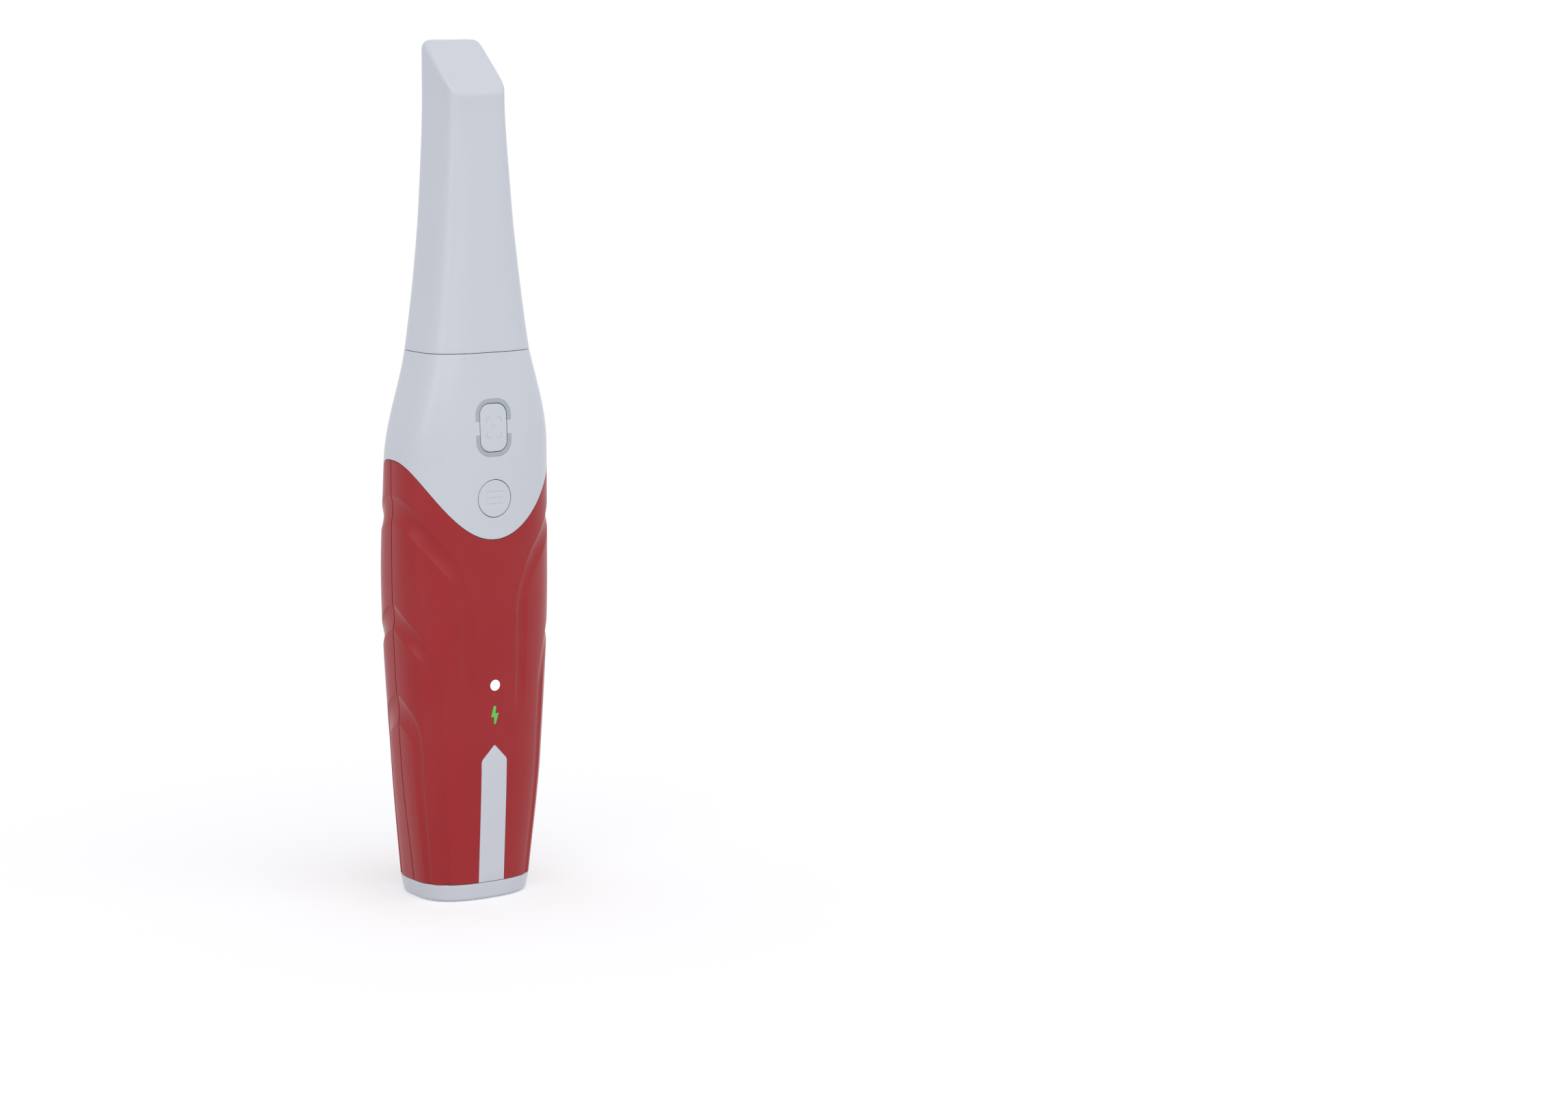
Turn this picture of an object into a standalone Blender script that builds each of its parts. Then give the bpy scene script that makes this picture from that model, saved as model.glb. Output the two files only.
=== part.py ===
"""Cordless intraoral scanner with a pull-off tip, two buttons and a slide-out battery.

Metres, +Z up. The scanner stands on its base cap with the buttons facing -Y.
Every visible piece is cut from one lofted outer form, so they stay flush.
"""
from math import copysign, cos, pi, radians, sin, tan

import bmesh
import bpy
from mathutils import Matrix, Vector

MM = 0.001

# Battery cell that the grip is built round
CELL_DIAMETER = 18.2 * MM
CELL_LENGTH = 65.0 * MM
CELL_RADIUS = CELL_DIAMETER / 2

# Heights, each one above the station below it; the grip station lies above the battery
BASE_HEIGHT = 5.2 * MM
LOWER_RISE = 34.8 * MM
GRIP_OVER_CELL = 21.7 * MM
SHOULDER_RISE = 32.0 * MM
NECK_RISE = 30.8 * MM
ROOT_RISE = 33.2 * MM
HEAD_RISE = 38.0 * MM
CROWN_RISE = 14.0 * MM

# How far the grip's outer form lies beyond the cell at the side, front and rear
RIM_SIDE_ROOM = 8.3 * MM
RIM_FRONT_ROOM = 4.2 * MM
RIM_REAR_ROOM = 5.8 * MM
LOWER_SIDE_ROOM = 12.1 * MM
LOWER_FRONT_ROOM = 6.2 * MM
LOWER_REAR_ROOM = 6.1 * MM
GRIP_SIDE_ROOM = 14.45 * MM
GRIP_DEPTH_ROOM = 7.25 * MM
SHOULDER_SIDE_ROOM = 14.4 * MM
SHOULDER_FRONT_ROOM = 7.2 * MM
SHOULDER_REAR_ROOM = 3.2 * MM

# Half widths, front depths and rear depths of the outer form
RIM_HALF_WIDTH = CELL_RADIUS + RIM_SIDE_ROOM
RIM_FRONT = CELL_RADIUS + RIM_FRONT_ROOM
RIM_REAR = CELL_RADIUS + RIM_REAR_ROOM
LOWER_HALF_WIDTH = CELL_RADIUS + LOWER_SIDE_ROOM
LOWER_FRONT = CELL_RADIUS + LOWER_FRONT_ROOM
LOWER_REAR = CELL_RADIUS + LOWER_REAR_ROOM
GRIP_HALF_WIDTH = CELL_RADIUS + GRIP_SIDE_ROOM
GRIP_DEPTH = CELL_RADIUS + GRIP_DEPTH_ROOM
SHOULDER_HALF_WIDTH = CELL_RADIUS + SHOULDER_SIDE_ROOM
SHOULDER_FRONT = CELL_RADIUS + SHOULDER_FRONT_ROOM
SHOULDER_REAR = CELL_RADIUS + SHOULDER_REAR_ROOM
NECK_HALF_WIDTH = 16.65 * MM
NECK_FRONT = 14.5 * MM
NECK_REAR = 9.1 * MM
ROOT_HALF_WIDTH = 12.4 * MM
ROOT_FRONT = 12.5 * MM
ROOT_REAR = 8.2 * MM
HEAD_HALF_WIDTH = 9.2 * MM
HEAD_FRONT = 10.0 * MM
HEAD_REAR = 8.2 * MM

# Squareness of the sections: 2 is an ellipse, more is nearer a rectangle
GRIP_SQUARENESS = 2.6
GRIP_REAR_SQUARENESS = 2.9
RIM_REAR_SQUARENESS = 3.5
NECK_SQUARENESS = 3.5
HEAD_SQUARENESS = 6.3

# Walls, gaps and edges
SHELL_WALL = 1.8 * MM
TIP_WALL = 1.6 * MM
BARREL_WALL = 2.2 * MM
GAP = 0.3 * MM
BUTTON_GAP = 0.2 * MM
BASE_EDGE = 1.2 * MM
BASE_TAPER = 0.4 * MM
HEAD_EDGE = 1.1 * MM
HEAD_EDGE_ANGLE = radians(35.0)

# Seam between the grey nose and the red grip, a parabola seen from the front
SEAM_RISE = 1.0 * MM
SEAM_SAG = 22.1 * MM
SAG_RUN = 40.0 * MM
TONGUE_LENGTH = 3.5 * MM
TONGUE_THICK = 1.2 * MM
TONGUE_RAMP = 2.0 * MM

# Grip scallops: how far the upper crease lies below the seam at the side, the
# height of the scoop, and where its two creases turn down on the way to the middle
SCALLOP_DEPTH = 0.45 * MM
UPPER_SCALLOP = {"drop": 9.9 * MM, "height": 7.6 * MM, "turn": 0.87, "inner_turn": 0.76}
MIDDLE_SCALLOP = {"drop": 40.1 * MM, "height": 7.3 * MM, "turn": 0.58, "inner_turn": 0.44}
LOWER_SCALLOP = {"drop": 65.8 * MM, "height": 8.5 * MM, "turn": 0.33, "inner_turn": 0.19}
SCALLOP_RUN = 46.0 * MM
SCALLOP_FADE = 14.0 * MM

# Slanted head of the tip, its window and its mirror
SLANT_ANGLE = radians(43.5)
WINDOW_WIDTH = 12.6 * MM
WINDOW_HEIGHT = 15.0 * MM
WINDOW_DROP = 4.5 * MM
WINDOW_CORNER = 2.0 * MM
MIRROR_THICK = 1.0 * MM
MIRROR_WIDTH = 13.6 * MM
MIRROR_LENGTH = 15.5 * MM

# Buttons and the light bands round the scan button
SCAN_DROP = 20.6 * MM
SCAN_WIDTH = 8.4 * MM
SCAN_LENGTH = 13.2 * MM
SCAN_CORNER = 3.0 * MM
BAND_WIDTH = 1.2 * MM
BAND_DEPTH = 0.8 * MM
BAND_BREAK = 3.9 * MM
BUTTON_PITCH = 19.7 * MM
MODE_DIAMETER = 10.3 * MM
BUTTON_TRAVEL = 0.5 * MM
FLANGE_MARGIN = 0.8 * MM
FLANGE_THICK = 0.8 * MM

# Strip inlay and lights on the front shell
STRIP_WIDTH = 8.2 * MM
STRIP_LENGTH = 35.3 * MM
STRIP_PEAK = 4.4 * MM
STRIP_THICK = 0.9 * MM
STRIP_FOOT_ROOM = 3.0
BOLT_OVER_STRIP = 8.4 * MM
BOLT_LENGTH = 5.2 * MM
BOLT_WIDTH = 2.5 * MM
BOLT_BACK = 0.3
BOLT_NOTCH = 0.12
STATUS_OVER_BOLT = 8.5 * MM
STATUS_DIAMETER = 3.1 * MM
LIGHT_DEPTH = 2.6 * MM
LIGHT_BOARD_WIDTH = 8.0 * MM
LIGHT_BOARD_MARGIN = 3.0 * MM

# Battery pack
CAP_FLOOR = 2.4 * MM
SPIGOT_RISE = 4.0 * MM
SPIGOT_WALL = 1.2 * MM
CASE_WALL = 0.9 * MM
CASE_FLOOR = 2.0 * MM
CASE_SIDE = 3.6 * MM
CASE_SQUARENESS = 2.6
LID_THICK = 2.4 * MM
PAD_SIZE = 3.0 * MM
PAD_THICK = 0.4 * MM
PAD_PITCH = 6.0 * MM
PAD_COUNT = 3
SCREW_DIAMETER = 2.0 * MM
SCREW_LENGTH = 6.5 * MM
SCREW_HEAD = 3.4 * MM
SCREW_HEAD_RISE = 1.0 * MM

# Barrel, optics and electronics
BARREL_DROP = 9.0 * MM
BARREL_RISE = 52.0 * MM
GLASS_THICK = 1.2 * MM
GLASS_LEDGE = 1.0 * MM
SEAL_RISE = 5.0 * MM
SEAL_HEIGHT = 2.0 * MM
SEAL_DEPTH = 1.0 * MM
FRAME_PLATE = 2.0 * MM
FRAME_SHELF_DROP = 31.0 * MM
RAIL_WIDTH = 3.0 * MM
RAIL_DEPTH = 6.0 * MM
RAIL_SPREAD = 11.0 * MM
ARM_HEIGHT = 3.0 * MM
LENS_TUBE_DIAMETER = 13.0 * MM
LENS_TUBE_WALL = 1.5 * MM
LENS_THICK = 3.0 * MM
PRISM_SIZE = 11.0 * MM
PROJECTOR_DEPTH = 5.0 * MM
SENSOR_SIZE = 9.0 * MM
SENSOR_HEIGHT = 4.0 * MM
CAMERA_BOARD_WIDTH = 16.0 * MM
BOARD_THICK = 1.0 * MM
BUTTON_BOARD_WIDTH = 22.0 * MM
BUTTON_BOARD_MARGIN = 7.5 * MM
SWITCH_SIZE = 4.0 * MM
SWITCH_THICK = 1.0 * MM
MAIN_BOARD_LENGTH = 21.0 * MM
SINK_BASE = 1.5 * MM
SINK_DEPTH = 8.0 * MM
SINK_LENGTH = 17.0 * MM
SINK_WIDTH = 18.0 * MM
SINK_FIN = 1.0 * MM
SINK_FINS = 5
ANTENNA_WIDTH = 12.0 * MM
ANTENNA_LENGTH = 17.0 * MM
ANTENNA_DROP = 2.0 * MM
BLOCK_WIDTH = 18.0 * MM
BLOCK_DEPTH = 8.0 * MM
BLOCK_HEIGHT = 3.2 * MM
PIN_DIAMETER = 1.4 * MM
PIN_LENGTH = 1.7 * MM

# Fineness of the lofts, as shares of the way from the side to the middle
GRIP_COLUMNS = sorted(
    {0.0, 0.09, 0.94, 1.0, 0.66}
    | {s[key] for s in (UPPER_SCALLOP, MIDDLE_SCALLOP, LOWER_SCALLOP) for key in ("turn", "inner_turn")}
    | {(s["turn"] + s["inner_turn"]) / 2 for s in (UPPER_SCALLOP, MIDDLE_SCALLOP, LOWER_SCALLOP)}
)
EVEN_COLUMNS = [step / 9 for step in range(10)]
PLAIN_COLUMNS = [step / 6 for step in range(7)]
ROUND_SIDES = 32
SMALL_SIDES = 16

# Battery case and stations of the outer form
Z_CASE = CAP_FLOOR + GAP
Z_CELL = Z_CASE + CASE_FLOOR + GAP
Z_CASE_TOP = Z_CELL + CELL_LENGTH + GAP
Z_LOWER = BASE_HEIGHT + LOWER_RISE
Z_GRIP = Z_CASE_TOP + GRIP_OVER_CELL
Z_SHOULDER = Z_GRIP + SHOULDER_RISE
Z_NECK = Z_SHOULDER + NECK_RISE
Z_ROOT = Z_NECK + ROOT_RISE
Z_HEAD = Z_ROOT + HEAD_RISE
Z_CROWN = Z_HEAD + CROWN_RISE
Z_SEAM = Z_SHOULDER + SEAM_RISE
STATIONS = (BASE_HEIGHT, Z_LOWER, Z_GRIP, Z_SHOULDER, Z_NECK, Z_ROOT, Z_HEAD)

# Heights above the battery case and of the lights on the grip
Z_BOLT = BASE_HEIGHT + STRIP_LENGTH + STRIP_PEAK + BOLT_OVER_STRIP
Z_STATUS = Z_BOLT + STATUS_OVER_BOLT
Z_LID = Z_CASE_TOP + GAP
Z_PADS = Z_LID + LID_THICK + GAP
Z_PINS = Z_PADS + PAD_THICK + GAP
Z_BLOCK = Z_PINS + PIN_LENGTH + GAP
Z_FRAME = Z_BLOCK + BLOCK_HEIGHT + GAP

# Heights of the optics, hung from the neck
Z_BARREL = Z_NECK - BARREL_DROP
Z_BARREL_TOP = Z_NECK + BARREL_RISE
Z_FLANGE = Z_BARREL - GAP - FRAME_PLATE
Z_SHELF = Z_FLANGE - FRAME_SHELF_DROP
Z_PRISM = Z_SHELF + FRAME_PLATE + GAP
Z_LENS_TUBE = Z_PRISM + PRISM_SIZE + GAP
LENS_TUBE_LENGTH = Z_BARREL - GAP - Z_LENS_TUBE
Z_SCAN = Z_NECK - SCAN_DROP
Z_MODE = Z_SCAN - BUTTON_PITCH
INNER = SHELL_WALL + GAP

# Axis of the battery, midway between front and rear
CELL_Y = (RIM_REAR - RIM_FRONT) / 2


def smooth(value):
    """Ease from 0 to 1, held flat outside."""
    value = min(1.0, max(0.0, value))
    return value * value * (3 - 2 * value)


def even_curve(values):
    """A smooth curve through the stations that never overshoots them."""
    steps = [b - a for a, b in zip(STATIONS, STATIONS[1:])]
    rises = [(b - a) / step for a, b, step in zip(values, values[1:], steps)]
    slopes = [rises[0]]
    for left, right in zip(rises, rises[1:]):
        slopes.append(2 * left * right / (left + right) if left * right > 0 else 0.0)
    slopes.append(0.0)

    def at(height):
        if height >= STATIONS[-1]:
            return values[-1]
        index = max(i for i, z in enumerate(STATIONS[:-1]) if i == 0 or height >= z)
        step = steps[index]
        t = (height - STATIONS[index]) / step
        start = (1 + 2 * t) * (1 - t) ** 2 * values[index]
        end = t * t * (3 - 2 * t) * values[index + 1]
        lean = t * (1 - t) ** 2 * slopes[index] - t * t * (1 - t) * slopes[index + 1]
        return start + end + lean * step

    return at


half_width = even_curve((RIM_HALF_WIDTH, LOWER_HALF_WIDTH, GRIP_HALF_WIDTH, SHOULDER_HALF_WIDTH,
                         NECK_HALF_WIDTH, ROOT_HALF_WIDTH, HEAD_HALF_WIDTH))
front_depth = even_curve((RIM_FRONT, LOWER_FRONT, GRIP_DEPTH, SHOULDER_FRONT,
                          NECK_FRONT, ROOT_FRONT, HEAD_FRONT))
rear_depth = even_curve((RIM_REAR, LOWER_REAR, GRIP_DEPTH, SHOULDER_REAR,
                         NECK_REAR, ROOT_REAR, HEAD_REAR))
squareness = even_curve((GRIP_SQUARENESS, GRIP_SQUARENESS, GRIP_SQUARENESS, GRIP_SQUARENESS,
                         NECK_SQUARENESS, NECK_SQUARENESS, HEAD_SQUARENESS))
rear_squareness = even_curve((RIM_REAR_SQUARENESS, GRIP_REAR_SQUARENESS, GRIP_REAR_SQUARENESS,
                              GRIP_REAR_SQUARENESS, NECK_SQUARENESS, NECK_SQUARENESS, HEAD_SQUARENESS))


def section_point(angle, width, depth, power):
    """Point of a rounded-rectangle section at an angle."""
    x = copysign(abs(cos(angle)) ** (2 / power), cos(angle)) * width
    y = copysign(abs(sin(angle)) ** (2 / power), sin(angle)) * depth
    return x, y


def skin_point(angle, height, inset=0.0):
    """Point of the outer form, or of a form inset from it."""
    front = sin(angle) < 0
    depth = front_depth(height) if front else rear_depth(height)
    power = squareness(height) if front else rear_squareness(height)
    x, y = section_point(angle, half_width(height) - inset, depth - inset, power)
    return Vector((x, y, height))


def front_face(x, height):
    """Y of the outer form's front at a place."""
    share = abs(x) / half_width(height)
    power = squareness(height)
    return -front_depth(height) * (1 - share ** power) ** (1 / power)


def board_front():
    """Y of the button board's front, behind the travel of both buttons and the switches."""
    deepest = max(front_face(0, Z_SCAN), front_face(0, Z_MODE))
    return deepest + SHELL_WALL + FLANGE_THICK + BUTTON_TRAVEL + SWITCH_THICK + 4 * GAP


# Axis of the optics, just behind the button board
OPTIC_Y = board_front() + BOARD_THICK + GAP + LENS_TUBE_DIAMETER / 2


def around(columns):
    """Angles all round from the columns of one quarter."""
    quarter = [share * pi / 2 for share in columns]
    half = quarter + [pi - angle for angle in reversed(quarter[:-1])]
    return half + [-angle for angle in reversed(half[1:-1])]


def side_share(angle):
    """Share of the way from the side (0) to the middle of front or rear (1)."""
    angle = abs(angle)
    return min(angle, pi - angle) / (pi / 2)


def row_height(side_height, angle):
    """Height of a row that starts at a height at the side and sags like the seam."""
    sag = SEAM_SAG * smooth((side_height - BASE_HEIGHT) / SAG_RUN)
    parabola = 1 - abs(cos(angle)) ** (4 / GRIP_SQUARENESS)
    middle = Z_SEAM - MIDDLE_SCALLOP["drop"]
    bend = smooth((side_height - middle) / (Z_SEAM - UPPER_SCALLOP["drop"] - middle))
    return side_height - sag * (side_share(angle) * (1 - bend) + parabola * bend)


def scallop_depth(side_height, angle):
    """Depth of the three scallops at a place on the grip."""
    depth = 0.0
    for scallop in (UPPER_SCALLOP, MIDDLE_SCALLOP, LOWER_SCALLOP):
        down = (Z_SEAM - scallop["drop"] - side_height) / scallop["height"]
        across = (scallop["turn"] - side_share(angle)) / (scallop["turn"] - scallop["inner_turn"])
        place = min(down, across)
        if 0 < place < 1:
            fade = 1.0
            if scallop is UPPER_SCALLOP:
                fade = 1 - smooth((down * scallop["height"] - SCALLOP_RUN) / SCALLOP_FADE + 1)
            depth = max(depth, 4 * place * (1 - place) * fade)
    return depth * SCALLOP_DEPTH


def ring(columns, height, inset=0.0):
    """One level ring of the form."""
    return [skin_point(angle, height, inset) for angle in around(columns)]


def seam_ring(columns, side_height, lift=0.0, inset=0.0, scalloped=False):
    """One ring that sags like the seam."""
    points = []
    for angle in around(columns):
        depth = scallop_depth(side_height, angle) if scalloped else 0.0
        points.append(skin_point(angle, row_height(side_height, angle) + lift, inset + depth))
    return points


def stations_between(low, high, count):
    """Evenly spaced heights, both ends included."""
    return [low + (high - low) * step / count for step in range(count + 1)]


# Scene, collections and materials

def clear_scene():
    for item in list(bpy.data.objects):
        bpy.data.objects.remove(item, do_unlink=True)


def make_collection(name):
    collection = bpy.data.collections.new(name)
    bpy.context.scene.collection.children.link(collection)
    return collection


clear_scene()
PARTS = make_collection("intraoral_scanner")
CUTTERS = make_collection("cutters")


def paint(name, colour, roughness, metallic=0.0):
    material = bpy.data.materials.new(name)
    material.use_nodes = True
    shader = material.node_tree.nodes["Principled BSDF"]
    shader.inputs["Base Color"].default_value = (*colour, 1.0)
    shader.inputs["Roughness"].default_value = roughness
    shader.inputs["Metallic"].default_value = metallic
    return material


GREY = (0.60, 0.63, 0.69)
RED = (0.34, 0.033, 0.037)
BAND_GREY = (0.44, 0.46, 0.49)
WHITE = (0.9, 0.9, 0.9)
GREEN = (0.14, 0.48, 0.08)
BLACK = (0.02, 0.02, 0.022)
STEEL = (0.55, 0.56, 0.58)
GOLD = (0.85, 0.6, 0.22)
BOARD_GREEN = (0.02, 0.16, 0.06)
GLASS = (0.8, 0.88, 0.9)
SLEEVE_BLUE = (0.05, 0.12, 0.3)


# Building meshes

def finish_piece(name, mesh, colour, roughness, metallic=0.0):
    """Put a mesh in the parts collection as a named piece."""
    piece = bpy.data.objects.new(name, mesh)
    PARTS.objects.link(piece)
    mesh.materials.append(paint(name, colour, roughness, metallic))
    return piece


def finish_cutter(name, mesh):
    cutter = bpy.data.objects.new(name, mesh)
    CUTTERS.objects.link(cutter)
    cutter.hide_render = True
    cutter.display_type = "WIRE"
    return cutter


def to_mesh(name, bm):
    bmesh.ops.recalc_face_normals(bm, faces=bm.faces)
    mesh = bpy.data.meshes.new(name)
    bm.to_mesh(mesh)
    bm.free()
    return mesh


def bridge(bm, first, second):
    """Quads between two rings of vertices."""
    count = len(first)
    for index in range(count):
        after = (index + 1) % count
        bm.faces.new((first[index], first[after], second[after], second[index]))


def close_ring(bm, verts):
    """Close a ring by joining each front vertex to the one behind it."""
    count = len(verts)
    half = count // 2
    bm.faces.new((verts[0], verts[1], verts[count - 1]))
    for index in range(1, half - 1):
        bm.faces.new((verts[index], verts[index + 1], verts[count - index - 1], verts[count - index]))
    bm.faces.new((verts[half - 1], verts[half], verts[half + 1]))


def loft(name, rings, endless=False):
    """Skin a row of rings; an endless one joins the last ring to the first."""
    bm = bmesh.new()
    rows = [[bm.verts.new(point) for point in points] for points in rings]
    for first, second in zip(rows, rows[1:]):
        bridge(bm, first, second)
    if endless:
        bridge(bm, rows[-1], rows[0])
    else:
        close_ring(bm, rows[0])
        close_ring(bm, rows[-1])
    return to_mesh(name, bm)


def prism(name, outline, front, back):
    """Outline of (x, z) points pushed from one y to another, each a number or a rule."""
    bm = bmesh.new()
    place = [rule if callable(rule) else (lambda x, z, y=rule: y) for rule in (front, back)]
    faces = [[bm.verts.new((x, rule(x, z), z)) for x, z in outline] for rule in place]
    bridge(bm, faces[0], faces[1])
    bm.faces.new(faces[0])
    bm.faces.new(faces[1])
    return to_mesh(name, bm)


def box_shape(bm, low, high):
    """Add a box between two corners."""
    size = [b - a for a, b in zip(low, high)]
    centre = [(a + b) / 2 for a, b in zip(low, high)]
    matrix = Matrix.Translation(centre) @ Matrix.Diagonal((*size, 1.0))
    bmesh.ops.create_cube(bm, size=1.0, matrix=matrix)


def boxes(name, corners):
    bm = bmesh.new()
    for low, high in corners:
        box_shape(bm, low, high)
    return to_mesh(name, bm)


def cylinder_shape(bm, centre, radius, low, high, sides=ROUND_SIDES, axis="Z"):
    """Add a cylinder along Z or Y; the centre gives the two other coordinates."""
    length = high - low
    matrix = Matrix.Translation((centre[0], centre[1], (low + high) / 2))
    if axis == "Y":
        turn = Matrix.Rotation(pi / 2, 4, "X")
        matrix = Matrix.Translation((centre[0], (low + high) / 2, centre[1])) @ turn
    bmesh.ops.create_cone(bm, cap_ends=True, segments=sides, radius1=radius, radius2=radius,
                          depth=length, matrix=matrix)


def cylinders(name, centres, radius, low, high, sides=ROUND_SIDES, axis="Z"):
    bm = bmesh.new()
    for centre in centres:
        cylinder_shape(bm, centre, radius, low, high, sides, axis)
    return to_mesh(name, bm)


def turned(name, centre, profile, sides=SMALL_SIDES):
    """Solid turned about a vertical axis from (radius, height) points that start and end on it."""
    bm = bmesh.new()
    rows = []
    for radius, height in profile[1:-1]:
        turns = [2 * pi * i / sides for i in range(sides)]
        rows.append([bm.verts.new((centre[0] + radius * cos(a), centre[1] + radius * sin(a), height))
                     for a in turns])
    for first, second in zip(rows, rows[1:]):
        bridge(bm, first, second)
    bm.faces.new(rows[0])
    bm.faces.new(rows[-1])
    return to_mesh(name, bm)


def together(name, meshes):
    """Several separate closed shapes as one cutter."""
    bm = bmesh.new()
    for mesh in meshes:
        bm.from_mesh(mesh)
        bpy.data.meshes.remove(mesh)
    return finish_cutter(name, to_mesh(name, bm))


def apply_boolean(piece, other, operation="DIFFERENCE"):
    """Cut, join or intersect a piece with another object."""
    modifier = piece.modifiers.new(other.name, "BOOLEAN")
    modifier.operation = operation
    modifier.solver = "EXACT"
    modifier.object = other
    return piece


# Outlines seen from the front

def rounded_rectangle(x, z, width, height, corner, steps=5):
    """Rounded rectangle round a centre, counter-clockwise from the right side."""
    points = []
    for turn, (side, up) in enumerate(((1, 1), (-1, 1), (-1, -1), (1, -1))):
        centre_x = x + side * (width / 2 - corner)
        centre_z = z + up * (height / 2 - corner)
        for step in range(steps + 1):
            angle = (turn + step / steps) * pi / 2
            points.append((centre_x + corner * cos(angle), centre_z + corner * sin(angle)))
    return points


def circle(x, z, diameter, sides=ROUND_SIDES):
    return [(x + diameter / 2 * cos(2 * pi * i / sides), z + diameter / 2 * sin(2 * pi * i / sides))
            for i in range(sides)]


def scan_outline(grow=0.0):
    return rounded_rectangle(0, Z_SCAN, SCAN_WIDTH + 2 * grow, SCAN_LENGTH + 2 * grow, SCAN_CORNER + grow)


def mode_outline(grow=0.0):
    return circle(0, Z_MODE, MODE_DIAMETER + 2 * grow)


def band_outline(side, inner_grow, outer_grow, end_grow=0.0):
    """Half of the band round the scan button; side is 1 for upper, -1 for lower."""
    end = BAND_BREAK / 2 - end_grow

    def half(grow):
        arch = [(x, z - Z_SCAN) for x, z in scan_outline(grow) if z > Z_SCAN]
        width = SCAN_WIDTH / 2 + grow
        return [(width, end)] + arch + [(-width, end)]

    points = half(outer_grow) + list(reversed(half(inner_grow)))
    return [(x, Z_SCAN + side * z) for x, z in points]


def strip_outline(grow=0.0):
    """House shape with its foot at the base cap and its point up."""
    half = STRIP_WIDTH / 2 + grow
    top = BASE_HEIGHT + STRIP_LENGTH + grow
    foot = BASE_HEIGHT + GAP - grow * STRIP_FOOT_ROOM
    return [(half, foot), (half, top), (0, top + STRIP_PEAK), (-half, top), (-half, foot)]


def bolt_outline(grow=0.0):
    """Charge symbol: two slanted bars that meet in a step."""
    half = BOLT_LENGTH / 2 + grow
    wide = BOLT_WIDTH / 2 + grow
    back = wide * BOLT_BACK
    notch = half * BOLT_NOTCH + grow
    points = [(back, half), (-wide, -notch), (-back * BOLT_BACK, -notch), (-back, -half),
              (wide, notch), (back * BOLT_BACK, notch)]
    return [(x, Z_BOLT + z) for x, z in points]


def status_outline(grow=0.0):
    return circle(0, Z_STATUS, STATUS_DIAMETER + 2 * grow, SMALL_SIDES)


FAR_FRONT = -2 * GRIP_DEPTH


def behind(depth):
    """Rule for a face that follows the front skin at a depth."""
    return lambda x, z: front_face(x, z) + depth


def flush_piece(name, outline, depth, form):
    """Prism whose outer face is the front skin and whose back lies at a depth."""
    return apply_boolean_mesh(prism(name, outline, FAR_FRONT, behind(depth)), form, name)


def apply_boolean_mesh(mesh, form, name):
    """Trim a mesh to the outer form and return it as a mesh with its modifier applied."""
    holder = finish_cutter(name + "_blank", mesh)
    apply_boolean(holder, form, "INTERSECT")
    graph = bpy.context.evaluated_depsgraph_get()
    trimmed = bpy.data.meshes.new_from_object(holder.evaluated_get(graph))
    bpy.data.objects.remove(holder)
    trimmed.name = name
    return trimmed


def outer_form():
    """Solid of the whole outer form, used to trim what lies flush with it."""
    heights = stations_between(0.0, Z_NECK, 34)
    return finish_cutter("outer_form", loft("outer_form", [ring(EVEN_COLUMNS, z) for z in heights]))


# Battery pack

def base_cap():
    """Cup that the scanner stands on, with a spigot inside the grip shells."""
    rings = []
    for step in range(4):
        angle = step / 3 * pi / 2
        inset = BASE_TAPER + BASE_EDGE * (1 - sin(angle))
        rings.append((BASE_EDGE * (1 - cos(angle)), inset))
    rings.append((BASE_HEIGHT - GAP, 0.0))
    rings.append((BASE_HEIGHT - GAP, INNER))
    rings.append((BASE_HEIGHT + SPIGOT_RISE, INNER))
    rings.append((BASE_HEIGHT + SPIGOT_RISE, INNER + SPIGOT_WALL))
    rings.append((CAP_FLOOR, INNER + SPIGOT_WALL))
    mesh = loft("base_cap", [ring(EVEN_COLUMNS, z, inset) for z, inset in rings])
    cap = finish_piece("base_cap", mesh, GREY, 0.35)
    hole = SCREW_DIAMETER / 2 + GAP
    head = SCREW_HEAD / 2 + GAP
    holes = cylinders("cap_holes", screw_places(), hole, -GAP, CAP_FLOOR + GAP, SMALL_SIDES)
    heads = cylinders("cap_counterbores", screw_places(), head, -GAP, SCREW_HEAD_RISE + 2 * GAP, SMALL_SIDES)
    apply_boolean(cap, finish_cutter("cap_holes", holes))
    apply_boolean(cap, finish_cutter("cap_counterbores", heads))
    return cap


def case_half_width():
    return CELL_RADIUS + GAP + CASE_SIDE


def screw_places():
    across = CELL_RADIUS + GAP + CASE_SIDE / 2
    return [(side * across, CELL_Y) for side in (1, -1)]


def case_ring(height, inset=0.0):
    points = []
    for angle in around(PLAIN_COLUMNS):
        depth = CELL_RADIUS + GAP + CASE_WALL - inset
        x, y = section_point(angle, case_half_width() - inset, depth, CASE_SQUARENESS)
        points.append(Vector((x, y + CELL_Y, height)))
    return points


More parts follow.
